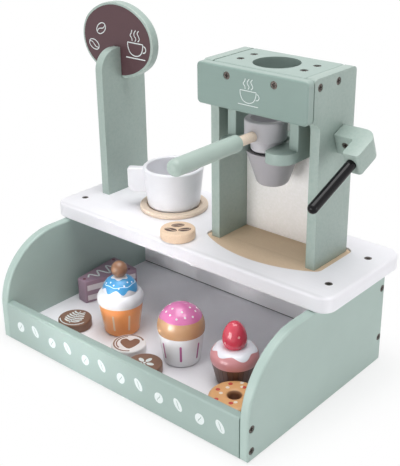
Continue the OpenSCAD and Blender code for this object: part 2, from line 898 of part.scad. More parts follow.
// L-shaped block: the hub takes the axle, and the arm takes the rod
module lever_block() {
    arm_y = -hub_w / 2 - arm_l;
    color(sage) on_lever() difference() {
        run_z(-block_h / 2, block_h) difference() {
            union() {
                translate([0, -hub_w / 2]) square([hub_l, hub_w]);
                translate([arm_x, arm_y]) square([arm_w, arm_l + hub_w]);
                spandrel([arm_x, -hub_w / 2], 2, block_edge_r);
            }
            spandrel([hub_l, hub_w / 2], 2, block_r, over);
            spandrel([hub_l, arm_y], 1, block_edge_r, over);
            spandrel([arm_x, arm_y], 0, block_edge_r, over);
        }
        translate([-over, 0, 0]) rotate([0, 90, 0])
            cylinder(h = axle_in + fit + over, r = axle_r + fit);
        translate([arm_x + arm_w / 2, arm_y + rod_in + fit, 0]) rotate([90, 0, 0])
            cylinder(h = rod_in + fit + over, r = rod_r + fit);
        at_lever_screw() screw_hole(lever_screw_l);
    }
}

// The cross screw enters the hub's front face between the post and the arm
module at_lever_screw() {
    translate([arm_x / 2, -hub_w / 2, 0]) rotate([90, 0, 0]) children();
}

// Turned axle with its retaining head on the inner side of the post
module lever_axle() {
    shank_x = -wall_t - 2 * side_play;
    color(bare_wood) on_lever() difference() {
        rotate([0, 90, 0]) rotate_extrude() {
            translate([0, shank_x]) square([axle_r, axle_in - shank_x]);
            translate([0, shank_x - axle_head_t]) square([axle_head_r, axle_head_t]);
        }
        at_lever_screw() screw_hole(lever_screw_l);
    }
}

module lever_rod() {
    rod_l = rod_in + rod_show;
    color(black_paint) on_lever()
        translate([arm_x + arm_w / 2, rod_in - hub_w / 2 - arm_l, 0]) rotate([90, 0, 0])
            rotate_extrude() intersection() {
                union() {
                    square([rod_r, rod_l - rod_r]);
                    translate([0, rod_l - rod_r]) circle(rod_r);
                }
                square([rod_r, rod_l]);
            }
}

module lever_screw() {
    color(dark_steel) on_lever() at_lever_screw() sunk_screw(lever_screw_l);
}

// ---------------------------------------------------------------- the sign

// Post with a slot from the top, half of the cross lap joint
module sign_post() {
    top = counter_top_z + sign_post_h;
    color(sage) on_case() difference() {
        run_x(-sign_x - sign_t / 2, sign_t) difference() {
            translate([sign_y, counter_top_z]) square([sign_post_d, sign_post_h]);
            spandrel([sign_y, top], 3, sign_post_r, over);
            spandrel([sign_y + sign_post_d, top], 2, sign_post_r, over);
            translate([oval_y - lap_gap, lap_z])
                square([sign_t + 2 * lap_gap, top - lap_z + over]);
        }
        at_sign_screws() screw_hole(base_screw_l);
    }
}

// Oval board with a slot from below, the other half of the joint
module sign_board() {
    color(sage) on_case() run_y(oval_y, sign_t) difference() {
        translate([-sign_x, counter_top_z + oval_z]) oval(oval_w, oval_h, oval_end_r);
        translate([-sign_x - sign_t / 2 - lap_gap, counter_top_z])
            square([sign_t + 2 * lap_gap, lap_z - counter_top_z]);
    }
}

// -------------------------------------------------------------- the screws

module case_screws() {
    color(dark_steel) on_case() at_case_screws() sunk_screw(case_screw_l);
}

module counter_screws() {
    color(dark_steel) on_case() at_counter_screws() sunk_screw(counter_screw_l);
}

module head_screws() {
    color(dark_steel) on_case() {
        at_top_screws() sunk_screw(base_screw_l);
        at_side_screws() sunk_screw(head_screw_l);
        at_front_screws() sunk_screw(head_screw_l);
    }
}

module base_screws() {
    color(dark_steel) on_case() {
        at_base_screws() sunk_screw(base_screw_l);
        at_sign_screws() sunk_screw(base_screw_l);
    }
}

module fork_screws() {
    color(dark_steel) on_case() at_fork_screws() sunk_screw(base_screw_l);
}

// --------------------------------------------------------- cup and coaster

module at_cup(z) { on_case() translate([cup_at[0], cup_at[1], z]) children(); }

module coaster() {
    color(bare_wood) at_cup(counter_top_z) difference() {
        soft_disc(coaster_r, coaster_t, coaster_edge_r);
        translate([0, 0, coaster_t - coaster_recess])
            cylinder(h = coaster_recess + over, r = cup_foot_r + coaster_play);
    }
}

// Turned cup with a round lip and a flat-bottomed seat for its handle
module cup_body() {
    lip = cup_wall / 2;
    color(white_paint) at_cup(cup_z) difference() {
        rotate_extrude() {
            difference() {
                case_section(cup_foot_r, cup_rim_r, cup_h - lip, cup_foot_round);
                hollow_section(cup_foot_r, cup_rim_r, cup_h - lip, cup_wall,
                    cup_foot_round);
            }
            translate([cup_rim_r - lip, cup_h - lip]) circle(lip);
        }
        rotate(handle_turn) run_y(-handle_t / 2 - fit, handle_t + 2 * fit)
            cup_handle_outline(fit);
    }
}

// The cup's outside at height z, where the handle's seat follows the taper
function cup_side(z) = cup_foot_r + (cup_rim_r - cup_foot_r) * z / (cup_h - cup_wall / 2);

// Outline of the handle before its corners are rounded, drawn larger by e all round
module cup_handle_outline(e) {
    low = handle_z - e;
    high = handle_z + handle_h + e;
    polygon([[cup_side(low) - handle_seat - e, low], [handle_reach, low],
        [handle_reach, high], [cup_side(high) - handle_seat - e, high]]);
}

module cup_handle() {
    color(white_paint) at_cup(cup_z) rotate(handle_turn)
        run_y(-handle_t / 2, handle_t) difference() {
            cup_handle_outline(0);
            spandrel([handle_reach, handle_z], 1, handle_low_r, over);
            spandrel([handle_reach, handle_z + handle_h], 2, handle_top_r, over);
        }
}

// ---------------------------------------------------- discs, ring and slice

module coffee_disc(at, z) {
    on_case() translate([at[0], at[1], z]) soft_disc(disc_r, disc_t, disc_edge_r);
}

module bean_disc() { color(bare_wood) coffee_disc(bean_disc_at, counter_top_z); }

module leaf_disc() { color(coffee) coffee_disc(leaf_disc_at, floor_top); }

module heart_disc() { color(white_paint) coffee_disc(heart_disc_at, floor_top); }

module flower_disc() { color(coffee) coffee_disc(flower_disc_at, floor_top); }

module ring_cake() {
    color([0.86, 0.60, 0.32]) on_case() translate([ring_at[0], ring_at[1], floor_top])
        rotate_extrude() translate([ring_hole_r, 0])
            soft_rect(ring_r - ring_hole_r, ring_t, ring_round);
}

// Wedge of layer cake with a blunt nose, about the middle of the nose
module cake_slice() {
    r = slice_round;
    flare = atan((slice_w - slice_nose) / 2 / slice_l);
    near_x = slice_nose / 2 - r * (1 - sin(flare)) / cos(flare);
    far_x = slice_w / 2 - r * (1 + sin(flare)) / cos(flare);
    color([0.47, 0.34, 0.42]) on_tray(slice_at, 0) rotate(slice_turn)
        linear_extrude(slice_h) soft_polygon([[-near_x, r], [near_x, r],
            [far_x, slice_l - r], [-far_x, slice_l - r]], r);
}

// ---------------------------------------------------------------- cupcakes

module on_tray(at, z) { on_case() translate([at[0], at[1], floor_top + z]) children(); }

module nut_cupcake_case() {
    color([0.87, 0.52, 0.25]) on_tray(nut_cupcake_at, 0) rotate_extrude()
        case_section(nut_foot_r, nut_rim_r, nut_case_h, case_foot_round);
}

// Icing: a round ring on the case, and in it a mound whose side is one arc
module nut_cupcake_icing() {
    color(white_paint) on_tray(nut_cupcake_at, nut_case_h) rotate_extrude()
        intersection() {
            union() {
                translate([nut_icing_r - nut_ring_r, nut_bulge_z]) circle(nut_ring_r);
                square([nut_icing_r - nut_ring_r, nut_bulge_z + nut_ring_r]);
                translate([nut_mound_r - nut_mound_arc_r, nut_mound_z])
                    circle(nut_mound_arc_r);
            }
            square([nut_icing_r, nut_icing_h]);
        }
}

// Ball with a flat seat
module nut_cupcake_nut() {
    sit = nut_r * nut_seat;
    color([0.50, 0.34, 0.22]) on_tray(nut_cupcake_at, nut_case_h + nut_icing_h + sit)
        rotate_extrude() intersection() {
            circle(nut_r);
            translate([0, -sit]) square([nut_r, nut_r + sit]);
        }
}

module dome_cupcake_case() {
    color(white_paint) on_tray(dome_cupcake_at, 0) rotate_extrude()
        case_section(dome_foot_r, dome_rim_r, dome_case_h, case_foot_round);
}

// Dome: a ball cut where it is as wide as the case's rim
module dome_cupcake_dome() {
    sit = sqrt(pow(dome_r, 2) - pow(dome_rim_r, 2));
    color([0.83, 0.50, 0.66]) on_tray(dome_cupcake_at, dome_case_h + sit)
        rotate_extrude() intersection() {
            circle(dome_r);
            translate([0, -sit]) square([dome_r, dome_r + sit]);
        }
}

module berry_cupcake_case() {
    color([0.33, 0.21, 0.16]) on_tray(berry_cupcake_at, 0) rotate_extrude()
        case_section(berry_foot_r, berry_rim_r, berry_case_h, case_foot_round);
}

module berry_cupcake_icing() {
    color([0.80, 0.52, 0.55]) on_tray(berry_cupcake_at, berry_case_h)
        rotate_extrude() {
            shoulder = berry_icing_r - berry_icing_round;
            square([shoulder, berry_icing_h]);
            intersection() {
                translate([shoulder, berry_icing_h - berry_icing_round])
                    circle(berry_icing_round);
                square([berry_icing_r, berry_icing_h]);
            }
        }
}

// Egg-shaped berry with a flat seat on the icing
module berry_cupcake_berry() {
    color([0.80, 0.20, 0.27])
        on_tray(berry_cupcake_at, berry_case_h + berry_icing_h + berry_seat)
            rotate_extrude() {
                egg_section(berry_r, berry_tip, berry_tip_r);
                intersection() {
                    circle(berry_r);
                    translate([0, -berry_seat]) square([berry_r, berry_seat]);
                }
            }
}

side_panel_left();
side_panel_right();
front_board();
floor_panel();
back_panel();
counter_top();
machine_base();
machine_post_left();
machine_post_right();
machine_back_panel();
head_top_plate();
head_front_board();
cheek_left();
cheek_right();
fork_plate();
spout_bowl();
filter_drum();
handle_dowel();
handle_grip();
lever_block();
lever_axle();
lever_rod();
lever_screw();
sign_post();
sign_board();
case_screws();
counter_screws();
head_screws();
base_screws();
fork_screws();
coaster();
cup_body();
cup_handle();
bean_disc();
leaf_disc();
heart_disc();
flower_disc();
ring_cake();
cake_slice();
nut_cupcake_case();
nut_cupcake_icing();
nut_cupcake_nut();
dome_cupcake_case();
dome_cupcake_dome();
berry_cupcake_case();
berry_cupcake_icing();
berry_cupcake_berry();
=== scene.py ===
import math

import bmesh
import bpy
from mathutils import Matrix, Vector
from mathutils.bvhtree import BVHTree


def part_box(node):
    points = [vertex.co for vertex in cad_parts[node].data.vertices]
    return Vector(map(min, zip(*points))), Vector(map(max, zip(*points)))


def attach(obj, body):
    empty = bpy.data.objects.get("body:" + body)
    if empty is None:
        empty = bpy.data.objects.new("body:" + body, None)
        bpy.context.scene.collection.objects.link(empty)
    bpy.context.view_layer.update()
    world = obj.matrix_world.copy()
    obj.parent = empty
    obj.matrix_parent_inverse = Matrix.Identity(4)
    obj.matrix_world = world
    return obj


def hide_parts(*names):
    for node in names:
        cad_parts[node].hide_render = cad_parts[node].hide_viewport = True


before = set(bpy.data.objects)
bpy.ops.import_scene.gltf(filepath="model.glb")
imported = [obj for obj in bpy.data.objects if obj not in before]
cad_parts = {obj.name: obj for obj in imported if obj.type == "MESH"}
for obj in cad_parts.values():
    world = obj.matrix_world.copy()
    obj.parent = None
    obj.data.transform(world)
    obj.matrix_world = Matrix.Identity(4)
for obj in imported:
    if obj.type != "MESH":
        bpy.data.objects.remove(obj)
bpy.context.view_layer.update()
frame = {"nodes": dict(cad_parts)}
nodes = frame["nodes"]
scene = bpy.context.scene
MM = 0.001

# ---------------------------------------------------------------- Studio
# A pale table top that keeps a soft shadow, one wide soft lamp overhead, weak ones
# from the front and the side, a narrow one into the tray, and a dim pale room.


class Socket:
    """An output of a node; sums with it add the nodes that work them out."""

    def __init__(self, nodes, out):
        self.nodes, self.out = nodes, out

    def sum(self, operation, *values, clamp=False):
        return self.nodes.node("ShaderNodeMath", {"operation": operation, "use_clamp": clamp},
                               dict(enumerate(values)))

    def __add__(self, other): return self.sum("ADD", self, other)
    def __sub__(self, other): return self.sum("SUBTRACT", self, other)
    def __rsub__(self, other): return self.sum("SUBTRACT", other, self)
    def __mul__(self, other): return self.sum("MULTIPLY", self, other)
    def __truediv__(self, other): return self.sum("DIVIDE", self, other)
    def __rtruediv__(self, other): return self.sum("DIVIDE", other, self)
    def __neg__(self): return self.sum("MULTIPLY", self, -1.0)
    def __abs__(self): return self.sum("ABSOLUTE", self)
    __radd__, __rmul__ = __add__, __mul__

    def sin(self): return self.sum("SINE", self)
    def fract(self): return self.sum("FRACT", self)
    def least(self, other): return self.sum("MINIMUM", self, other)
    def most(self, other): return self.sum("MAXIMUM", self, other)

    def above(self, level, soft):
        """1 above the level and 0 below it, over a soft step."""
        return self.sum("MULTIPLY_ADD", self - level, 1 / soft, 0.5, clamp=True)


class Nodes:
    """A node tree and the one way nodes are added to it."""

    def __init__(self, tree):
        self.tree = tree

    def node(self, kind, settings=None, inputs=None, output=0):
        made = self.tree.nodes.new(kind)
        for key, value in (settings or {}).items():
            if key == "stops":
                ramp = made.color_ramp
                ramp.interpolation = "EASE"
                while len(ramp.elements) > 1:
                    ramp.elements.remove(ramp.elements[-1])
                for i, (at, colour) in enumerate(value):
                    stop = ramp.elements.new(at) if i else ramp.elements[0]
                    stop.position, stop.color = at, colour
            else:
                setattr(made, key, value)
        for key, value in (inputs or {}).items():
            for one in value if isinstance(value, list) else [value]:
                if isinstance(one, Socket):
                    self.tree.links.new(one.out, made.inputs[key])
                elif isinstance(one, tuple):
                    made.inputs[key].default_value = one[:len(made.inputs[key].default_value)]
                else:
                    made.inputs[key].default_value = one
        return Socket(self, made.outputs[output]) if made.outputs else None

    def seen(self):
        """1 for what is looked at, also in a gloss, and 0 for the light it gives."""
        kinds = [self.node("ShaderNodeLightPath", output=f"Is {kind} Ray")
                 for kind in ("Camera", "Glossy", "Transmission")]
        return kinds[0].most(kinds[1]).most(kinds[2])


def srgb(red, green, blue):
    """A colour named by its 0 to 255 screen values."""
    return tuple(c / 12.92 if c <= 0.04045 else ((c + 0.055) / 1.055) ** 2.4
                 for c in (red / 255, green / 255, blue / 255)) + (1.0,)


class Finish(Nodes):
    """A procedural finish; lengths in it are millimetres of the toy."""

    def __init__(self, name):
        self.material = bpy.data.materials.new(name)
        self.material.use_nodes = True
        super().__init__(self.material.node_tree)
        self.tree.nodes.clear()

    def blend(self, factor, a, b):
        """Colour a where the factor is 0, and b where it is 1."""
        return self.node("ShaderNodeMix", {"data_type": "RGBA", "blend_type": "MIX"},
                         {0: factor, 6: a, 7: b}, output=2)

    def place(self, at=(0, 0, 0), turn=(0, 0, 0), stretch=(1, 1, 1)):
        """Place on the piece from a point, along turned axes, in stretched millimetres."""
        here = self.node("ShaderNodeTexCoord", output=3)
        return self.node("ShaderNodeMapping", {"vector_type": "TEXTURE"}, {
            "Vector": here, "Location": tuple(v * MM for v in at),
            "Rotation": tuple(math.radians(v) for v in turn),
            "Scale": tuple(v * MM for v in stretch)})

    def split(self, vector):
        return [self.node("ShaderNodeSeparateXYZ", inputs={0: vector}, output=i)
                for i in range(3)]

    def toned(self, colour, tone):
        """The colour, darker where the tone is below 1."""
        return self.node("ShaderNodeVectorMath", {"operation": "SCALE"},
                         {0: colour, "Scale": tone})

    def cloud(self, where, size, detail=2.0, rough=0.5):
        """Soft noise from 0 to 1 with lumps of about this size."""
        return self.node("ShaderNodeTexNoise", inputs={
            "Vector": where, "Scale": 1 / size, "Detail": detail, "Roughness": rough})

    def relief(self, height, depth, strength=1.0):
        """Normal of a surface that rises by depth millimetres where height is 1."""
        return self.node("ShaderNodeBump", inputs={
            "Height": height, "Distance": depth * MM, "Strength": strength})

    def close(self, colour, roughness, normal, coat=0.0, metallic=0.0, specular=0.5):
        """The finish as a material, ready for a piece."""
        shader = self.node("ShaderNodeBsdfPrincipled", inputs={
            "Base Color": colour, "Roughness": roughness, "Metallic": metallic, "Normal": normal,
            "Coat Weight": coat, "Coat Roughness": 0.08, "Specular IOR Level": specular})
        self.node("ShaderNodeOutputMaterial", inputs={"Surface": shader})
        return self.material


room = bpy.data.worlds.new("pale_room")
scene.world = room
room.use_nodes = True
room.node_tree.nodes.clear()
air = Nodes(room.node_tree)
fill = air.node("ShaderNodeBackground", inputs={"Color": srgb(250, 251, 255), "Strength": 0.21})
white = air.node("ShaderNodeBackground", inputs={"Color": (1, 1, 1, 1), "Strength": 1.0})
air.node("ShaderNodeOutputWorld", inputs={"Surface": air.node(
    "ShaderNodeMixShader", inputs={0: air.seen(), 1: fill, 2: white})})

# The table shows the toy's soft shadow near the case and fades to white past it
half_wide, half_deep, middle_y, fade, glow = 170, 100, 99, 45, 0.72
table = Finish("pale_table")
paper = table.cloud(table.place(), 40) * 0.01 + 0.9
x, y = table.split(table.place(at=(0, middle_y, 0)))[:2]
x, y = (abs(x) - half_wide).most(0), (abs(y) - half_deep).most(0)
far = (x.sum("SQRT", x * x + y * y) / fade).least(1.0)
matt = table.node("ShaderNodeBsdfDiffuse", inputs={"Color": table.node(
    "ShaderNodeCombineColor", inputs={0: paper, 1: paper, 2: paper})})
white = table.node("ShaderNodeEmission", inputs={"Color": (1, 1, 1, 1), "Strength": 1.0})
table.node("ShaderNodeOutputMaterial", inputs={"Surface": table.node(
    "ShaderNodeMixShader",
    inputs={0: table.seen() * (far * (1 - glow) + glow), 1: matt, 2: white})})
sheet = bpy.data.meshes.new("table_top")
reach, drop = 4.0, -0.0004
sheet.from_pydata([(-reach, -reach, drop), (reach, -reach, drop), (reach, reach, drop),
                   (-reach, reach, drop)], [], [(0, 1, 2, 3)])
sheet.materials.append(table.material)
table_top = bpy.data.objects.new("table_top", sheet)
scene.collection.objects.link(table_top)


def soft_lamp(name, place, aim, size, power, spread=180.0):
    """Square softbox at a place in metres, turned to its aim."""
    lamp = bpy.data.lights.new(name, "AREA")
    lamp.size, lamp.energy, lamp.spread = size, power, math.radians(spread)
    holder = bpy.data.objects.new(name, lamp)
    scene.collection.objects.link(holder)
    turn = (Vector(place) - Vector(aim)).to_track_quat("Z", "Y")
    holder.matrix_world = Matrix.Translation(place) @ turn.to_matrix().to_4x4()


soft_lamp("overhead_box", (0.05, 0.12, 1.5), (0.02, 0.10, 0.10), 1.2, 21.0)
soft_lamp("front_box", (-0.75, -1.45, 0.75), (0.0, 0.05, 0.12), 0.8, 0.8)
soft_lamp("low_front_box", (-0.05, -0.80, 0.12), (0.0, 0.05, 0.05), 0.5, 5.0)
soft_lamp("low_side_box", (0.95, 0.30, 0.12), (0.15, 0.10, 0.05), 0.5, 2.8)
soft_lamp("tray_box", (-0.14, -0.75, 0.10), (-0.02, 0.19, 0.05), 0.10, 0.026, 11.0)

# A long lens from the front right, above the counter; the render's size, the focal
# length and the point straight ahead are in dots
picture_w, picture_h, focus, sight_x, sight_y = 400, 466, 896.17, 207.59, 218.91
azimuth, elevation, roll = (math.radians(v) for v in (40.77, 23.69, -0.55))
back = Vector((math.sin(azimuth) * math.cos(elevation),
               -math.cos(azimuth) * math.cos(elevation), math.sin(elevation)))
level = Vector((math.cos(azimuth), math.sin(azimuth), 0))
rise = back.cross(level)
right = level * math.cos(roll) + rise * math.sin(roll)
up = rise * math.cos(roll) - level * math.sin(roll)
lens = bpy.data.cameras.new("viewer")
lens.sensor_fit, lens.sensor_width = "AUTO", 36.0
lens.lens = focus / picture_h * lens.sensor_width
lens.shift_x = (picture_w / 2 - sight_x) / picture_h
lens.shift_y = (sight_y - picture_h / 2) / picture_h
lens.clip_start, lens.clip_end = 0.05, 20.0
viewer = bpy.data.objects.new("viewer", lens)
scene.collection.objects.link(viewer)
viewer.matrix_world = Matrix.Translation((0.49187, -0.44580, 0.45190)) @ Matrix(
    (right, up, back)).transposed().to_4x4()
scene.camera = viewer
scene.view_settings.view_transform = "Standard"

# ------------------------------------------------------------- Side panels
# Two boards of smooth beech plywood with a quarter-round front, sprayed with two
# coats of satin sage paint and screwed to the front board and the back panel.

sage = srgb(170, 189, 182)


def painted(finish, colour, roughness=0.40, depth=0.05, grain=(1.2, 26, 1.2)):
    """Sprayed paint on sanded wood: fine stipple, a little unevenness, soft wood lines."""
    drift = finish.cloud(finish.place(), 38, 3)
    stipple = finish.cloud(finish.place(), 0.55, 2, 0.6)
    lines = finish.cloud(finish.place(stretch=grain), 1, 3, 0.65)
    tone = (drift * 0.10 + stipple * 0.035 + lines * 0.045) + 0.91
    tinted = finish.toned(colour, tone)
    rubbed = (finish.node("ShaderNodeAttribute", {"attribute_name": "edge"}, output=2)
              * finish.cloud(finish.place(), 2.5, 3, 0.7).above(0.45, 0.25))
    tinted = finish.blend(rubbed * 0.30, tinted, srgb(222, 222, 212))
    gloss = finish.cloud(finish.place(), 14, 2) * 0.14 + stipple * 0.06 + (roughness - 0.10)
    height = stipple * 0.6 + lines * 0.4
    return finish.close(tinted, gloss, finish.relief(height, depth, 0.55))


def dressed(material, *names):
    """Gives these CAD nodes their finish; their shapes stay as built."""
    for name in names:
        for slot in nodes[name].material_slots:
            slot.material = material


dressed(painted(Finish("sage_side_paint"), sage), "side_panel_left", "side_panel_right")

# ------------------------------------------------------------- Front board
# A low sage board between the side panels.  A row of white coffee beans is screen
# printed along it, upright and slanted ones in turn.

# Painted shade: the front board's sage is darker than the side panels' sage
front_sage_shaded = srgb(153, 171, 165)
dressed(painted(Finish("sage_front_paint"), front_sage_shaded, grain=(26, 1.2, 1.2)), "front_board")


class Recipe(Nodes):
    """A geometry tree with named sizes, run on an object and kept as a plain mesh."""

    def __init__(self, name, **sizes):
        super().__init__(bpy.data.node_groups.new(name, "GeometryNodeTree"))
        sockets = self.tree.interface
        sockets.new_socket("Geometry", in_out="INPUT", socket_type="NodeSocketGeometry")
        for label, (kind, value) in sizes.items():
            made = sockets.new_socket(label, in_out="INPUT", socket_type="NodeSocket" + kind)
            if value is not None:
                made.default_value = value
        sockets.new_socket("Geometry", in_out="OUTPUT", socket_type="NodeSocketGeometry")
        self.given = self.tree.nodes.new("NodeGroupInput")

    def size(self, label):
        """One of the recipe's named sizes."""
        return Socket(self, self.given.outputs[label])

    def vector(self, x=0.0, y=0.0, z=0.0):
        return self.node("ShaderNodeCombineXYZ", inputs={0: x, 1: y, 2: z})

    def end(self, geometry):
        """Real geometry with its ink or paint on it."""
        real = self.node("GeometryNodeRealizeInstances", inputs={0: geometry})
        inked = self.node("GeometryNodeSetMaterial", inputs={
            0: real, "Material": self.size("Paint")})
        self.node("NodeGroupOutput", inputs={0: inked})

    def run(self, name, blank=None, **sizes):
        """A piece made by the recipe from a blank mesh, with no modifier left on it."""
        blank = blank or bpy.data.meshes.new(name + "_blank")
        holder = bpy.data.objects.new(name + "_blank", blank)
        scene.collection.objects.link(holder)
        jig = holder.modifiers.new("recipe", "NODES")
        jig.node_group = self.tree
        for item in self.tree.interface.items_tree:
            if item.item_type == "SOCKET" and item.in_out == "INPUT" and item.name in sizes:
                jig[item.identifier] = sizes[item.name]
        holder.update_tag()
        shaped = holder.evaluated_get(bpy.context.evaluated_depsgraph_get())
        piece = bpy.data.objects.new(name, bpy.data.meshes.new_from_object(shaped))
        bpy.data.objects.remove(holder)
        scene.collection.objects.link(piece)
        return piece


# Each bean is an oval with an open S-shaped crease, drawn in millimetres
bean_row = Recipe("bean_row", Count=("Int", 6), Pitch=("Float", 44.75), Width=("Float", 8.0),
                  Height=("Float", 10.0), Crease=("Float", 0.8), Lean=("Float", 0.0),
                  Ink=("Float", 0.08), Paint=("Material", None))
circle = bean_row.node("GeometryNodeCurvePrimitiveCircle", {"mode": "RADIUS"},
                       {"Resolution": 40, "Radius": 1.0})
body = bean_row.node("GeometryNodeTransform", inputs={0: circle, "Scale": bean_row.vector(
    bean_row.size("Width") * 0.5, bean_row.size("Height") * 0.5, 1.0)})
crease = bean_row.node("GeometryNodeTransform", inputs={0: circle, "Scale": bean_row.vector(
    bean_row.size("Crease") * 0.5, bean_row.size("Height") * 0.36, 1.0)})
along = bean_row.node("ShaderNodeSeparateXYZ", inputs={
    0: bean_row.node("GeometryNodeInputPosition")}, output=1)
wave = (along * (2 * math.pi) / bean_row.size("Height")).sin() * bean_row.size("Width") * 0.09
crease = bean_row.node("GeometryNodeSetPosition", inputs={
    0: crease, "Offset": bean_row.vector(wave)})
both = bean_row.node("GeometryNodeJoinGeometry", inputs={0: [body, crease]})
face = bean_row.node("GeometryNodeFillCurve", {"mode": "TRIANGLES"}, {0: both})
face = bean_row.node("GeometryNodeTransform", inputs={
    0: face, "Rotation": bean_row.vector(0.0, 0.0, bean_row.size("Lean"))})
raised = bean_row.node("GeometryNodeExtrudeMesh", {"mode": "FACES"}, {
    0: face, "Offset Scale": bean_row.size("Ink"), "Individual": False})
under = bean_row.node("GeometryNodeFlipFaces", inputs={0: face})
bean = bean_row.node("GeometryNodeMergeByDistance", inputs={
    0: bean_row.node("GeometryNodeJoinGeometry", inputs={0: [raised, under]}), "Distance": 0.002})
stations = bean_row.node("GeometryNodeMeshLine", {"mode": "OFFSET"}, {
    "Count": bean_row.size("Count"), "Offset": bean_row.vector(bean_row.size("Pitch"))})
bean_row.end(bean_row.node("GeometryNodeInstanceOnPoints", inputs={
    0: stations, "Instance": bean}))

ink = Finish("white_screen_ink")
patchy = ink.cloud(ink.place(), 0.8, 2, 0.6)
inked = ink.blend(patchy.above(0.35, 0.5), srgb(206, 215, 213), srgb(222, 229, 228))
white_ink = ink.close(inked, ink.cloud(ink.place(), 3) * 0.15 + 0.42, ink.relief(patchy, 0.03))
front_face = Matrix(((1, 0, 0), (0, 0, -1), (0, 1, 0))).to_4x4()
front_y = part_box("front_board")[0].y
for name, first, height, sizes in (
        ("front_beans_upright", -122.9, 19.3, {"Width": 9.6, "Height": 10.2, "Lean": -0.25}),
        ("front_beans_slanted", -101.6, 22.0, {"Width": 7.2, "Height": 12.4, "Lean": 0.62})):
    beans = bean_row.run(name, Paint=white_ink, **sizes)
    beans.data.transform(Matrix.Translation((first * MM, front_y + 0.03 * MM, height * MM))
                         @ front_face @ Matrix.Scale(MM, 4))
    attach(beans, "bar")

# ------------------------------------------------- Floor sheet and back panel
# The tray's floor is a thin fibreboard sheet in a groove, and the back is a full
# board; both carry a matt pale grey paint.

tray = Finish("pale_grey_tray_paint")
dressed(painted(tray, srgb(240, 239, 243), 0.50, 0.03, grain=(9, 9, 9)), "floor_panel")


def from_front(finish, node):
    """Distance behind the front face of a piece."""
    return finish.split(finish.place(at=(0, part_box(node)[0].y / MM, 0)))[1]


# A dark line of painted shadow runs along the panel's foot, just over the sheet, for the shade of
# a joint gap
sheet_top, shadow_line_high = 12.2, 0.9
back_paint = Finish("pale_grey_back_paint")
height = back_paint.split(back_paint.place())[2]
painted_gap_shadow = ((1 - height.above(sheet_top + shadow_line_high, 0.2))
       * (1 - from_front(back_paint, "back_panel").above(2.0, 0.5)))
dressed(painted(back_paint, back_paint.blend(painted_gap_shadow, srgb(246, 246, 249), srgb(84, 84, 88)),
                0.50, 0.04, grain=(24, 1.2, 1.2)), "back_panel")

# ----------------------------------------------------------------- Counter
# A thick board with round corners and eased edges, sprayed satin white, with painted
# shade that darkens its front face and front edge.  The machine's base plate lies in a
# shallow pocket routed into it.

front_shade_band = 4.0
counter_paint = Finish("white_counter_paint")
# Painted shade: the front face and front edge are a darker white than the top
counter_white_shaded_front = counter_paint.blend(
    from_front(counter_paint, "counter_top").above(front_shade_band, front_shade_band),
    srgb(226, 225, 229), srgb(241, 240, 244))
dressed(painted(counter_paint, counter_white_shaded_front, 0.56, 0.04, grain=(30, 1.3, 1.3)),
        "counter_top")

# ------------------------------------------------------------------ Screws
# Countersunk cross-head screws of dark oxidised steel, driven just below the paint,
# and one that locks the lever on its axle.

steel = Finish("dark_oxide_screws")
spots = steel.cloud(steel.place(), 0.9, 3, 0.7)
burr = steel.cloud(steel.place(stretch=(0.25, 0.25, 2.5)), 1, 2)
dressed(steel.close(
    steel.blend(spots.above(0.5, 0.4), srgb(52, 46, 44), srgb(128, 120, 114)),
    spots * 0.2 + 0.26, steel.relief(burr * 0.5 + spots * 0.5, 0.03), metallic=0.9),
    "case_screws", "counter_screws", "head_screws", "base_screws", "fork_screws", "lever_screw")

# -------------------------------------------------------------- Base plate
# A thin bare fibreboard plate with a bowed front, dropped into the counter's
# pocket under the machine's posts.


def eased(node, name, material, body, ease, steps):
    """A board with its sawn edges sanded round; it stands for the CAD node."""
    part = bmesh.new()
    part.from_mesh(nodes[node].data)
    bmesh.ops.remove_doubles(part, verts=part.verts, dist=2e-6)
    bmesh.ops.dissolve_limit(part, angle_limit=math.radians(0.4), verts=part.verts,
                             edges=part.edges, delimit={"NORMAL"})
    sawn = [e for e in part.edges if e.is_manifold and e.calc_face_angle(0) > math.radians(40)]
    bmesh.ops.bevel(part, geom=sawn, offset=ease * MM, offset_type="OFFSET", segments=steps,
                    profile=0.5, affect="EDGES", clamp_overlap=True)
    bmesh.ops.recalc_face_normals(part, faces=part.faces)
    mesh = bpy.data.meshes.new(name)
    part.to_mesh(mesh)
    part.free()
    mesh.materials.append(material)
    worn(mesh)
    board = bpy.data.objects.new(name, mesh)
    scene.collection.objects.link(board)
    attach(board, body)
    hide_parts(node)


def worn(mesh):
    """Smooth shading, and an attribute that is 1 where the surface bends sharply."""
    part = bmesh.new()
    part.from_mesh(mesh)
    for f in part.faces:
        f.smooth = True
    bends = [max([0.0] + [e.calc_face_angle(0) for e in v.link_edges if e.is_manifold])
             for v in part.verts]
    part.to_mesh(mesh)
    part.free()
    mesh.set_sharp_from_angle(angle=math.radians(38))
    flat, full = math.radians(10), math.radians(25)
    edge = mesh.attributes.new("edge", "FLOAT", "POINT")
    edge.data.foreach_set("value", [min(1.0, max(0.0, (b - flat) / (full - flat)))
                                    for b in bends])


board = Finish("bare_fibreboard")
fibres = board.cloud(board.place(stretch=(3.5, 0.5, 1)), 1, 4, 0.7)
flecks = board.cloud(board.place(), 0.5, 2, 0.7).above(0.66, 0.08)
tan = board.blend(fibres, srgb(213, 186, 156), srgb(233, 210, 182))
tan = board.blend(flecks * 0.4, tan, srgb(166, 136, 106))
tan_plate = board.close(tan, fibres * 0.2 + 0.55, board.relief(fibres, 0.05, 0.6), specular=0.3)
eased("machine_base", "machine_base_plate", tan_plate, "bar", 0.5, 2)

# ---------------------------------------------------------- Machine's frame
# Two posts, a thick top plate with the filling hole and a front board over their
# heads, all in a slightly deeper sage than the tray, and a white back panel.

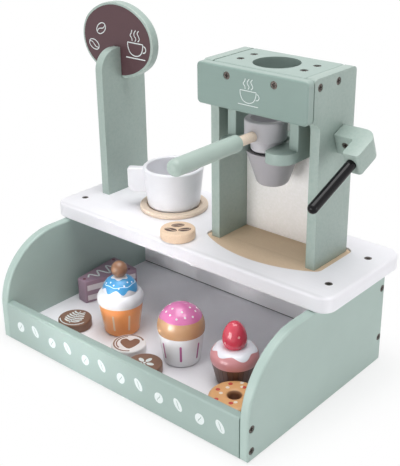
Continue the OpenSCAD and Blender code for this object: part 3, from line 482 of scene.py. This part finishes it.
deep_sage = srgb(155, 173, 166)
post_paint = painted(Finish("sage_post_paint"), deep_sage, grain=(1.2, 1.2, 26))
eased("machine_post_left", "machine_post_left_board", post_paint, "bar", 1.0, 3)
eased("machine_post_right", "machine_post_right_board", post_paint, "bar", 1.0, 3)
dressed(painted(Finish("sage_head_paint"), deep_sage, grain=(26, 1.2, 1.2)), "head_top_plate")
# The front board's face has painted shade: a darker sage than its edges and top
front_shade_band = 1.2
head_paint = Finish("sage_head_front_paint")
head_front_shaded = head_paint.blend(
    from_front(head_paint, "head_front_board").above(front_shade_band, front_shade_band),
    srgb(134, 155, 148), deep_sage)
dressed(painted(head_paint, head_front_shaded, grain=(26, 1.2, 1.2)), "head_front_board")
eased("machine_back_panel", "machine_back_board",
      painted(Finish("white_panel_paint"), srgb(252, 249, 249), 0.45, grain=(1.2, 1.2, 24)),
      "bar", 0.6, 2)

# ------------------------------------------------------- Fork and its cheeks
# A sage plate with an open slot hangs from two cheek boards under the head; the
# filter holder slides in it.

dressed(painted(Finish("sage_cheek_paint"), deep_sage, grain=(1.2, 1.2, 20)),
        "cheek_left", "cheek_right")
eased("fork_plate", "fork_plate_board",
      painted(Finish("sage_fork_paint"), deep_sage, grain=(1.2, 20, 1.2)),
      "bar", 1.2, 4)

# ------------------------------------------------------ Bowl and filter drum
# Turned beech, sprayed satin grey: the spout bowl glued under the fork, and the
# filter drum that runs above it on a dowel handle.


def foot_of(node):
    """Middle of a piece's underside, in millimetres."""
    low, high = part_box(node)
    return (low.x + high.x) / 2 / MM, (low.y + high.y) / 2 / MM, low.z / MM


def turned(finish, colour, node, axis=2, roughness=0.36):
    """Paint on a turned piece, with faint lathe rings along its axis."""
    along = finish.split(finish.place(at=foot_of(node)))[axis]
    rings = ((along * 5.2 + finish.cloud(finish.place(), 5) * 3).sin() * 0.5 + 0.5)
    drift = finish.cloud(finish.place(), 16, 3)
    stipple = finish.cloud(finish.place(), 0.5, 2, 0.6)
    tone = drift * 0.12 + stipple * 0.03 + rings * 0.02 + 0.915
    tinted = finish.toned(colour, tone)
    gloss = drift * 0.12 + stipple * 0.05 + (roughness - 0.08)
    return finish.close(tinted, gloss, finish.relief(rings * 0.35 + stipple * 0.65, 0.04, 0.5))


grey = srgb(164, 161, 165)
dressed(turned(Finish("grey_bowl_paint"), grey, "spout_bowl"), "spout_bowl")
dressed(turned(Finish("grey_drum_paint"), srgb(190, 188, 192), "filter_drum"), "filter_drum")
dressed(turned(Finish("sage_grip_paint"), srgb(168, 184, 176), "handle_grip", axis=1,
               roughness=0.42), "handle_grip")


def bare(name, pale, dark, along):
    """Sanded beech: long fibres along one axis, short dark rays and growth bands."""
    finish = Finish(name)
    long, short = ([length if axis == along else 1 for axis in range(3)]
                   for length in (16, 3.2))
    fibres = finish.cloud(finish.place(stretch=long), 0.9, 4, 0.7)
    bands = finish.cloud(finish.place(stretch=[v * 1.6 for v in long]), 3.2, 2)
    rays = finish.cloud(finish.place(stretch=short), 0.32, 1).above(0.64, 0.08)
    colour = finish.blend(fibres * 0.6 + bands * 0.4, srgb(*dark), srgb(*pale))
    colour = finish.blend(rays * 0.45, colour, srgb(*[v * 0.78 for v in dark]))
    rubbed = finish.node("ShaderNodeAttribute", {"attribute_name": "edge"}, output=2)
    colour = finish.blend(rubbed * 0.2, colour, srgb(*pale))
    return finish.close(colour, fibres * 0.18 + 0.42,
                        finish.relief(fibres * 0.7 - rays * 0.5, 0.06, 0.6), specular=0.4)


dressed(bare("bare_beech_dowel", (246, 230, 213), (230, 209, 189), 1), "handle_dowel")

# ------------------------------------------------------------------- Lever
# An L-shaped sage block on a bare axle that turns in the right post, with a gloss
# black dowel let into its arm and a cross screw that locks the axle.

eased("lever_block", "lever_block_board",
      painted(Finish("sage_lever_paint"), deep_sage, grain=(1.2, 20, 1.2)),
      "lever", 0.9, 3)
dressed(bare("bare_beech_axle", (236, 218, 198), (214, 190, 166), 0), "lever_axle")
lacquer = Finish("black_lacquer")
haze = lacquer.cloud(lacquer.place(), 4, 3, 0.6)
orange_peel = lacquer.relief(lacquer.cloud(lacquer.place(), 1.2), 0.03)
dressed(lacquer.close(lacquer.blend(haze, srgb(10, 9, 11), srgb(20, 19, 22)),
                      haze * 0.10 + 0.12, orange_peel, specular=0.18), "lever_rod")

# -------------------------------------------------------------------- Sign
# A sage post and an oval sage board held by a cross lap.  The oval's front carries a
# coffee-brown print with a white steaming bowl and two beans.

sign_paint = painted(Finish("sage_sign_paint"), deep_sage, grain=(1.2, 1.2, 26))
eased("sign_post", "sign_post_board", sign_paint, "bar", 1.1, 3)
eased("sign_board", "sign_oval_board", sign_paint, "bar", 1.1, 3)


def spline(points, steps=8, closed=False):
    """Smooth line through points."""
    n = len(points)
    line = []
    for i in range(n if closed else n - 1):
        p = [points[(i + k) % n] if closed else points[min(max(i + k, 0), n - 1)]
             for k in (-1, 0, 1, 2)]
        for s in range(steps):
            t = s / steps
            line.append(tuple(
                0.5 * (2 * b + (c - a) * t + (2 * a - 5 * b + 4 * c - d) * t * t
                       + (3 * b - a - 3 * c + d) * t ** 3) for a, b, c, d in zip(*p)))
    return line if closed else line + [tuple(points[-1])]


def arc(x, y, rx, ry, start=0.0, end=360.0, steps=40):
    """Points on an oval arc, in degrees."""
    turn = [math.radians(start + (end - start) * i / steps) for i in range(steps + 1)]
    points = [(x + rx * math.cos(a), y + ry * math.sin(a)) for a in turn]
    return points[:-1] if end - start == 360 else points


def printed(name, body, material, plane, *, strokes=(), fills=(), high=0.05):
    """Ink on a flat face: strokes are (points, width) and fills are outlines, in the
    plane's own millimetres; the ink stands high over the face and is rooted in it."""
    low = -0.05
    part = bmesh.new()
    for points, width in strokes:
        rings = []
        for i, p in enumerate(points):
            a, b = points[max(i - 1, 0)], points[min(i + 1, len(points) - 1)]
            length = math.hypot(b[0] - a[0], b[1] - a[1]) or 1.0
            side = ((a[1] - b[1]) / length * width / 2, (b[0] - a[0]) / length * width / 2)
            rings.append([part.verts.new((p[0] + s * side[0], p[1] + s * side[1], z))
                          for s, z in ((-1, low), (1, low), (1, high), (-1, high))])
        for r, q in zip(rings, rings[1:]):
            for k in range(4):
                part.faces.new((r[k], r[(k + 1) % 4], q[(k + 1) % 4], q[k]))
        part.faces.new(rings[0][::-1])
        part.faces.new(rings[-1])
    for outline in fills:
        lower = [part.verts.new((x, y, low)) for x, y in outline]
        upper = [part.verts.new((x, y, high)) for x, y in outline]
        part.faces.new(lower[::-1])
        part.faces.new(upper)
        for k in range(len(outline)):
            j = (k + 1) % len(outline)
            part.faces.new((lower[k], lower[j], upper[j], upper[k]))
    bmesh.ops.recalc_face_normals(part, faces=part.faces)
    bmesh.ops.triangulate(part, faces=[f for f in part.faces if len(f.verts) > 4])
    mesh = bpy.data.meshes.new(name)
    part.to_mesh(mesh)
    part.free()
    mesh.transform(plane @ Matrix.Scale(MM, 4))
    mesh.materials.append(material)
    piece = bpy.data.objects.new(name, mesh)
    scene.collection.objects.link(piece)
    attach(piece, body)


def brown_print(name, pale, dark):
    """Coffee-brown printing ink with a faint uneven lay."""
    finish = Finish(name)
    lay = finish.cloud(finish.place(), 9, 3, 0.6)
    dots = finish.cloud(finish.place(), 0.4, 2, 0.6)
    return finish.close(finish.blend(lay * 0.7 + dots * 0.3, srgb(*dark), srgb(*pale)),
                        lay * 0.15 + dots * 0.08 + 0.38, finish.relief(dots, 0.02, 0.5))


sign_low, sign_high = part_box("sign_board")
sign_at = ((sign_low.x + sign_high.x) / 2, sign_low.y, (sign_low.z + sign_high.z) / 2)
sign_face = Matrix.Translation(sign_at) @ front_face
sign_print = brown_print("brown_sign_print", (84, 55, 60), (72, 45, 50))


def oval(width, height, end_r, steps=24):
    """Outline of the sign's oval, of four arcs that meet smoothly."""
    across, upright = width / 2 - end_r, height / 2 - end_r
    sink = (across * across - upright * upright) / (2 * upright)
    side_r = height / 2 + sink
    tip = math.degrees(math.atan2(sink, across))
    outline = []
    for x, y, r, start, end in ((across, 0, end_r, -tip, tip),
                                (0, -sink, side_r, tip, 180 - tip),
                                (-across, 0, end_r, 180 - tip, 180 + tip),
                                (0, sink, side_r, 180 + tip, 360 - tip)):
        outline += arc(x, y, r, r, start, end, steps)[:-1]
    return outline


# The print stops short of the oval's edge, and on both sides of the lapped post
oval_w, oval_h, oval_end_r, rim = 95.4, 73.0, 30.0, 2.6
slot_half, lap_top = 4.7, -21.3
whole = oval(oval_w - 2 * rim, oval_h - 2 * rim, oval_end_r - rim)
outline = [(x, y) for x, y in whole if abs(x) >= slot_half or y >= lap_top]
turn_at = next(i for i, (p, q) in enumerate(zip(outline, outline[1:] + outline[:1]))
               if p[0] <= -slot_half and q[0] >= slot_half and p[1] < 0)
low_y = outline[turn_at][1]
outline = (outline[:turn_at + 1] + [(-slot_half, low_y), (-slot_half, lap_top),
                                    (slot_half, lap_top), (slot_half, low_y)]
           + outline[turn_at + 1:])
printed("sign_brown_print", "bar", sign_print, sign_face, fills=[outline])

steam = [spline([(x + 1.6 * math.sin(v * 1.9 + x), 6 + v * 3.1) for v in range(5)])
         for x in (-5.5, 0.0, 5.5)]
bowl = spline([(-12, 4), (-11.2, -2), (-7.5, -8.2), (0, -10.6),
               (7.5, -8.2), (11.2, -2), (12, 4)])


def moved(line, x, y, size=1.0, turn=0.0):
    """A line scaled, turned by degrees and moved to a place."""
    c, s = math.cos(math.radians(turn)) * size, math.sin(math.radians(turn)) * size
    return [(x + px * c - py * s, y + px * s + py * c) for px, py in line]


cup_lines = [(bowl, 1.0), ([(-12, 4), (12, 4)], 1.0), ([(-15, -13.2), (15, -13.2)], 1.0),
             (arc(12.2, -1.6, 4.2, 3.8, -100, 80, 16), 1.0)] + [(s, 0.9) for s in steam]
bean_lines = [(arc(0, 0, 7.0, 4.6) + [(7.0, 0)], 0.9),
              (spline([(-7, 0), (-3, 1.2), (3, -1.2), (7, 0)]), 0.8)]
printed("sign_white_lines", "bar", white_ink, sign_face, high=0.10,
        strokes=[(moved(line, 25, -3, 0.85), width) for line, width in cup_lines]
        + [(moved(line, x, y, 1, turn), width) for x, y, turn in ((-21, 9, 35), (-32, -8, -20))
           for line, width in bean_lines])

head_low, head_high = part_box("head_front_board")
head_at = Matrix.Translation(((head_low.x + head_high.x) / 2, head_low.y,
                              (head_low.z + head_high.z) / 2)) @ front_face
printed("head_white_lines", "bar", white_ink, head_at,
        strokes=[(moved(line, -1.5, -1.5, 0.68), 0.62) for line, _ in cup_lines])

# --------------------------------------------------------- Coaster and cup
# A bare turned beech coaster, and a white turned cup with a sawn handle glued into
# a flat seat in its wall.

dressed(bare("bare_beech_coaster", (238, 222, 204), (222, 200, 178), 0), "coaster")
cup_white = srgb(228, 228, 232)
dressed(turned(Finish("white_cup_paint"), cup_white, "cup_body", roughness=0.30), "cup_body")
eased("cup_handle", "cup_handle_piece",
      painted(Finish("white_handle_paint"), cup_white, 0.34, grain=(1.2, 1.2, 12)), "cup",
      1.6, 4)

# ------------------------------------------------------------ Coffee discs
# Four turned discs with a printed face each: beans on bare wood, and a leaf, a heart
# and a flower in coffee brown and milk white.

disc_brown, disc_white = srgb(128, 96, 78), srgb(232, 229, 228)
dressed(bare("bare_beech_disc", (240, 214, 188), (224, 194, 164), 0), "bean_disc")
dressed(turned(Finish("brown_leaf_disc_paint"), disc_brown, "leaf_disc"), "leaf_disc")
dressed(turned(Finish("white_heart_disc_paint"), disc_white, "heart_disc"), "heart_disc")
dressed(turned(Finish("brown_flower_disc_paint"), disc_brown, "flower_disc"), "flower_disc")
disc_ink = brown_print("brown_disc_print", (146, 108, 88), (118, 82, 64))
bean_ink = brown_print("dark_bean_print", (92, 62, 50), (66, 42, 34))


def disc_face(node, turn=0.0):
    """Plane of a disc's top face, with its own x to the right."""
    low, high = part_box(node)
    return (Matrix.Translation(((low.x + high.x) / 2, (low.y + high.y) / 2, high.z))
            @ Matrix.Rotation(math.radians(turn), 4, "Z"))


face = disc_face("bean_disc", 40)
spots_at = [(0, 6.2, 8), (-6.2, -3.6, -24), (6.4, -3.4, 20)]
bean_size = 1.16
crease_line = spline([(-4.6, 0), (-2, 0.7), (2, -0.7), (4.6, 0)])
crease_wood = bare("pale_crease_print", (226, 202, 176), (208, 182, 156), 0)
printed("bean_disc_beans", "bean_disc", bean_ink, face,
        fills=[moved(arc(0, 0, 5.2, 3.1), x, y, bean_size, turn) for x, y, turn in spots_at])
printed("bean_disc_creases", "bean_disc", crease_wood, face, high=0.09,
        strokes=[(moved(crease_line, x, y, bean_size, turn), 0.9) for x, y, turn in spots_at])

face = disc_face("leaf_disc", 20)
leaves = [([(0, -11), (0, 12)], 0.9)]
for k in range(6):
    y = -8.5 + 3.3 * k
    reach = 9.4 - 1.1 * abs(k - 1.5)
    for side in (-reach, reach):
        leaves.append((spline([(0, y), (side * 0.55, y + 0.6), (side, y + 3.0)]), 1.7))
printed("leaf_disc_print", "leaf_disc", white_ink, face, strokes=leaves
        + [(arc(0, 0, 14.0, 14.0, 205, 335), 1.0)])

face = disc_face("heart_disc", 38)
heart = spline([(0, -8.0), (6.6, -1.2), (7.0, 4.2), (3.4, 6.2), (0, 3.4), (-3.4, 6.2),
                (-7.0, 4.2), (-6.6, -1.2)], 6, True)
printed("heart_disc_print", "heart_disc", disc_ink, face,
        fills=[moved(heart, 1, 0, 1.2)],
        strokes=[(arc(0, 0, 13.6, 13.6, 20, 280), 1.5), (arc(0, 0, 11.2, 11.2, 100, 225), 1.3)])

face = disc_face("flower_disc", 0)
petals = [moved(arc(0, 5.6, 2.0, 3.6), 0, 0, 1, 72 * k) for k in range(5)]
printed("flower_disc_print", "flower_disc", white_ink, face,
        fills=petals + [arc(0, 0, 1.3, 1.3)])

# --------------------------------------------------------------- Ring cake
# A turned ring with a toasted-tan face and a brown hole; drops of cream and red
# enamel are set on its face by hand.

ring = Finish("toasted_ring_paint")
x, y, z = ring.split(ring.place(at=foot_of("ring_cake")))
from_axis = x.sum("SQRT", x * x + y * y)
toast = ring.cloud(ring.place(), 7, 3, 0.6)
crust = ring.blend(toast, srgb(216, 160, 106), srgb(229, 179, 126))
crust = ring.blend(from_axis.above(6.4, 0.8), srgb(140, 96, 66), crust)
fine = ring.cloud(ring.place(), 0.6, 2, 0.6)
dressed(ring.close(crust, toast * 0.12 + 0.32, ring.relief(fine, 0.05, 0.5)), "ring_cake")

# Drops of paint: low round drops, each square to the surface under it
drops = Recipe("paint_drops", Radius=("Float", 1.0), Flat=("Float", 0.2),
               Paint=("Material", None))
facing = drops.node("GeometryNodeInputNamedAttribute", {"data_type": "FLOAT_VECTOR"},
                    {"Name": "facing"})
square = drops.node("FunctionNodeAlignRotationToVector", {"axis": "Z"}, {"Vector": facing})
bead = drops.node("GeometryNodeMeshUVSphere", inputs={
    "Segments": 14, "Rings": 8, "Radius": drops.size("Radius")})
bead = drops.node("GeometryNodeTransform", inputs={
    0: bead, "Scale": drops.vector(1.0, 1.0, drops.size("Flat"))})
bead = drops.node("GeometryNodeSetShadeSmooth", inputs={0: bead})
drops.end(drops.node("GeometryNodeInstanceOnPoints", inputs={
    0: drops.size("Geometry"), "Instance": bead, "Rotation": square}))


def dotted(name, node, body, paint, spots, radius, flat=0.2, from_above=False):
    """Drops round a turned piece's axis, at (turn, height) on its side, or at
    (turn, distance) on its top; turns are degrees and lengths millimetres."""
    skin = nodes[node].data
    skin = BVHTree.FromPolygons([v.co for v in skin.vertices],
                                [f.vertices for f in skin.polygons])
    middle, outside = Vector(foot_of(node)) * MM, 0.2
    places, normals = [], []
    for turn, reach in spots:
        away = Vector((math.cos(math.radians(turn)), math.sin(math.radians(turn)), 0))
        if from_above:
            start, way = middle + away * reach * MM + Vector((0, 0, outside)), Vector((0, 0, -1))
        else:
            start, way = middle + away * outside + Vector((0, 0, reach * MM)), -away
        place, normal = skin.ray_cast(start, way)[:2]
        places.append(place)
        normals.append(normal)
    points = bpy.data.meshes.new(name + "_points")
    points.from_pydata(places, [], [])
    lean = points.attributes.new("facing", "FLOAT_VECTOR", "POINT")
    lean.data.foreach_set("vector", [v for n in normals for v in n])
    dots = drops.run(name, points, Radius=radius * MM, Flat=flat, Paint=paint)
    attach(dots, body)


def enamel(name, colour, dark):
    """Thick gloss enamel, as it is set on in drops."""
    finish = Finish(name)
    tone = finish.cloud(finish.place(), 1.5, 2)
    return finish.close(finish.blend(tone, srgb(*dark), srgb(*colour)), tone * 0.1 + 0.25,
                        finish.relief(tone, 0.03, 0.4))


cream_drops = enamel("cream_drops", (246, 236, 222), (232, 220, 204))
dotted("ring_cream_spots", "ring_cake", "ring_cake", cream_drops,
       [(-149 + 51.4 * k, (11.2, 17.6)[k % 2]) for k in range(7)] + [(97, 12.3)],
       1.7, 0.08, from_above=True)
dotted("ring_red_spots", "ring_cake", "ring_cake",
       enamel("red_drops", (206, 84, 72), (188, 66, 58)),
       [(-167 + 51.4 * k, (15.2, 16.4, 12.8)[k % 3]) for k in range(7)],
       2.0, 0.08, from_above=True)

# -------------------------------------------------------------- Cake slice
# A sawn wedge with mauve icing, two cream layers painted on its long sides, and a
# white squiggle with berries on top.

# The foot of the nose, the sides' slope, and where the cream starts and stops
slice_at, slice_turn, slice_foot = (-125.3, 75.0), -6.0, 12.2
side_slope, nose_half, cream_start, cream_end = 0.2281, 6.2, 2.2, 54.5
slice_paint = Finish("mauve_slice_paint")
x, y, z = slice_paint.split(
    slice_paint.place(at=(*slice_at, slice_foot), turn=(0, 0, slice_turn)))
on_side = (abs(x) - y * side_slope).above(nose_half, 0.2)
inside = y.above(cream_start, 0.25) * (1 - y.above(cream_end, 0.25))
low_layer, high_layer = (z.above(low, 0.2) * (1 - z.above(high, 0.2))
                         for low, high in ((2.6, 8.4), (13.4, 19.4)))
band = low_layer + high_layer
crumb = slice_paint.cloud(slice_paint.place(), 0.9, 3, 0.7)
cream = slice_paint.blend(crumb, srgb(214, 208, 212), srgb(228, 222, 226))
mauve = slice_paint.blend(slice_paint.cloud(slice_paint.place(), 12, 3),
                          srgb(146, 122, 138), srgb(160, 134, 150))
slice_finish = slice_paint.close(
    slice_paint.blend(on_side * inside * band, mauve, cream),
    crumb * 0.15 + 0.34, slice_paint.relief(crumb, 0.05, 0.5))
eased("cake_slice", "cake_slice_wedge", slice_finish, "cake_slice", 1.0, 3)
slice_top = (Matrix.Translation((slice_at[0] * MM, slice_at[1] * MM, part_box("cake_slice")[1].z))
             @ Matrix.Rotation(math.radians(slice_turn), 4, "Z"))
squiggle = spline([(0, 9), (-4, 14), (4.5, 19), (-6, 25), (7, 31), (-8.5, 38), (9.5, 44),
                   (-9, 51)], 10)
printed("cake_slice_squiggle", "cake_slice", white_ink, slice_top, high=0.25,
        strokes=[(squiggle, 1.7)])
berry_dots = enamel("dark_berry_dots", (122, 48, 66), (98, 34, 52))
printed("cake_slice_berries", "cake_slice", berry_dots, slice_top, high=0.25,
        fills=[arc(x, y, 1.5, 1.5, steps=16) for x, y in
               ((0, 4.2), (-14, 52), (14, 50), (0, 50.5), (11.5, 37))])

# ------------------------------------------------------------- Nut cupcake
# Turned in three: an orange case with pale painted pleats, a white icing with a blue
# glaze that runs down in drips, and a satin brown nut.


def around(finish, node):
    """Turn in degrees, distance from the axis and height of a turned piece."""
    x, y, z = finish.split(finish.place(at=foot_of(node)))
    return x.sum("ARCTAN2", y, x) * (180 / math.pi), x.sum("SQRT", x * x + y * y), z


def pleats(finish, node, count, first, width, low, high):
    """Painted upright lines with round ends: 1 on a line."""
    turn, radius, z = around(finish, node)
    off = ((turn - first) * (count / 360) + 0.5).fract() - 0.5
    off = off * radius * (2 * math.pi / count)
    past = (z - (high - width / 2)).most((low + width / 2) - z).most(0)
    return 1 - off.sum("SQRT", off * off + past * past).above(width / 2, 0.25)


def run_edge(turn, marks):
    """Height of a hand-run edge of paint, through (turn, height) marks round a piece."""
    first, tall = marks[0][0], 30
    stops = [((at - first) / 360, (height / tall,) * 3 + (1.0,)) for at, height in marks]
    share = ((turn - first) / 360).fract()
    return turn.nodes.node("ShaderNodeValToRGB", {"stops": stops + [(1.0, stops[0][1])]},
                           {0: share}) * tall


def iced(finish, base, layers, roughness=0.3, coat=0.25):
    """Glossy toy paint in several layers; each is (mask, colour) and stands a little proud."""
    drift = finish.cloud(finish.place(), 10, 3)
    fine = finish.cloud(finish.place(), 0.6, 2, 0.6)
    colour, proud = base, 0.0
    for mask, paint in layers:
        colour = finish.blend(mask, colour, paint)
        proud = mask * 0.8 + proud * 0.6 if proud else mask * 0.8
    tone = drift * 0.10 + fine * 0.02 + 0.94
    colour = finish.toned(colour, tone)
    height = fine * 0.08 + proud if proud else fine * 0.08
    return finish.close(colour, drift * 0.10 + fine * 0.05 + (roughness - 0.07),
                        finish.relief(height, 0.3, 0.6), coat=coat)


case = Finish("orange_case_paint")
stripe = pleats(case, "nut_cupcake_case", 8, -67, 1.9, 7, 24)
dressed(iced(case, srgb(246, 158, 88), [(stripe, srgb(238, 204, 172))], coat=0.4),
        "nut_cupcake_case")

icing = Finish("white_and_blue_icing")
turn, radius, z = around(icing, "nut_cupcake_icing")
glaze = z.above(run_edge(turn, [
    (-103, 17.4), (-87, 13.4), (-57, 17.4), (-34, 13.2), (-14, 16.6), (18, 12.4),
    (46, 16.6), (70, 13.4), (96, 17.0), (122, 13.6), (150, 16.8), (176, 12.8),
    (203, 17.0), (230, 13.4)]), 0.3)
collar = 1 - radius.above((turn * (5 * math.pi / 180)).sin() * 0.8 + 7.2, 0.3)
swag_height = (turn * (7 * math.pi / 180)).sin() * 0.35 + 19.8
swag = (1 - abs(z - swag_height).above(0.24, 0.2)) * glaze
dressed(iced(icing, srgb(216, 217, 221), [
    (glaze, srgb(56, 144, 196)), (swag, srgb(206, 226, 240)), (collar, srgb(236, 236, 240))]),
    "nut_cupcake_icing")
white_drops = enamel("white_drops", (246, 244, 243), (232, 229, 228))
dotted("nut_icing_dots", "nut_cupcake_icing", "nut_cupcake", white_drops,
       [(-116 + 22.5 * k, (20.8, 22.6, 21.4, 19.4)[k % 4]) for k in range(16)], 0.85, 0.15)
nut = Finish("satin_nut_paint")
dressed(iced(nut, nut.blend(nut.cloud(nut.place(stretch=(1, 1, 5)), 2.2, 3), srgb(120, 83, 58),
                            srgb(145, 104, 75)), [], 0.30), "nut_cupcake_nut")

# ------------------------------------------------------------ Dome cupcake
# A white case with magenta pleats under a tan dome; a pink glaze with white drops of
# enamel covers the dome's upper half.

case = Finish("white_case_paint")
stripe = pleats(case, "dome_cupcake_case", 7, -50, 2.0, 7, 24)
dressed(iced(case, srgb(246, 246, 249), [(stripe, srgb(184, 84, 146))]), "dome_cupcake_case")
dome = Finish("tan_and_pink_dome")
turn, radius, z = around(dome, "dome_cupcake_dome")
glaze = z.above(run_edge(turn, [(-126, 13.6), (-105, 14.9), (-75, 14.5), (-34, 14.3), (0, 14.0),
                                (40, 14.3), (95, 14.9), (140, 14.0), (190, 14.7)]), 0.4)
toast = dome.cloud(dome.place(), 8, 3)
dressed(iced(dome, dome.blend(toast, srgb(200, 152, 110), srgb(216, 170, 128)),
             [(glaze, srgb(214, 116, 172))], 0.24, 0.5), "dome_cupcake_dome")
dotted("dome_dots", "dome_cupcake_dome", "dome_cupcake", white_drops,
       [(-117 + 27.7 * k, (20.6, 20.2, 18.6, 19.4, 18.7)[k % 5]) for k in range(13)]
       + [(-102 + 60 * k, (23.6, 22.8)[k % 2]) for k in range(6)], 1.05, 0.15)

# ----------------------------------------------------------- Berry cupcake
# A dark brown case, dusky pink icing with white cream run over it, and a gloss red
# berry with pale seeds.

case = Finish("chocolate_case_paint")
stripe = pleats(case, "berry_cupcake_case", 26, 0, 1.0, 0.5, 20)
dressed(iced(case, srgb(96, 66, 56), [(stripe, srgb(82, 55, 47))], 0.4, 0.1),
        "berry_cupcake_case")
icing = Finish("pink_and_cream_icing")
turn, radius, z = around(icing, "berry_cupcake_icing")
cream_run = z.above(run_edge(turn, [
    (-115, 12.3), (-93, 10.1), (-60, 12.0), (-27, 8.5), (3, 11.6), (36, 9.2), (66, 11.8),
    (101, 9.0), (136, 12.0), (166, 9.6), (201, 11.9), (223, 10.0)]), 0.35)
dressed(iced(icing, srgb(208, 142, 146), [(cream_run, srgb(234, 235, 242))]),
        "berry_cupcake_icing")
berry = Finish("gloss_berry_paint")
reds = berry.blend(berry.cloud(berry.place(), 6), srgb(206, 54, 78), srgb(224, 72, 94))
dressed(iced(berry, reds, [], 0.2, 0.6), "berry_cupcake_berry")
dotted("berry_seeds", "berry_cupcake_berry", "berry_cupcake",
       enamel("pale_seeds", (240, 176, 176), (228, 150, 152)),
       [(-100 + 120 * k, 6.5) for k in range(3)] + [(-30 + 120 * k, 13.0) for k in range(3)],
       1.1, 0.12)
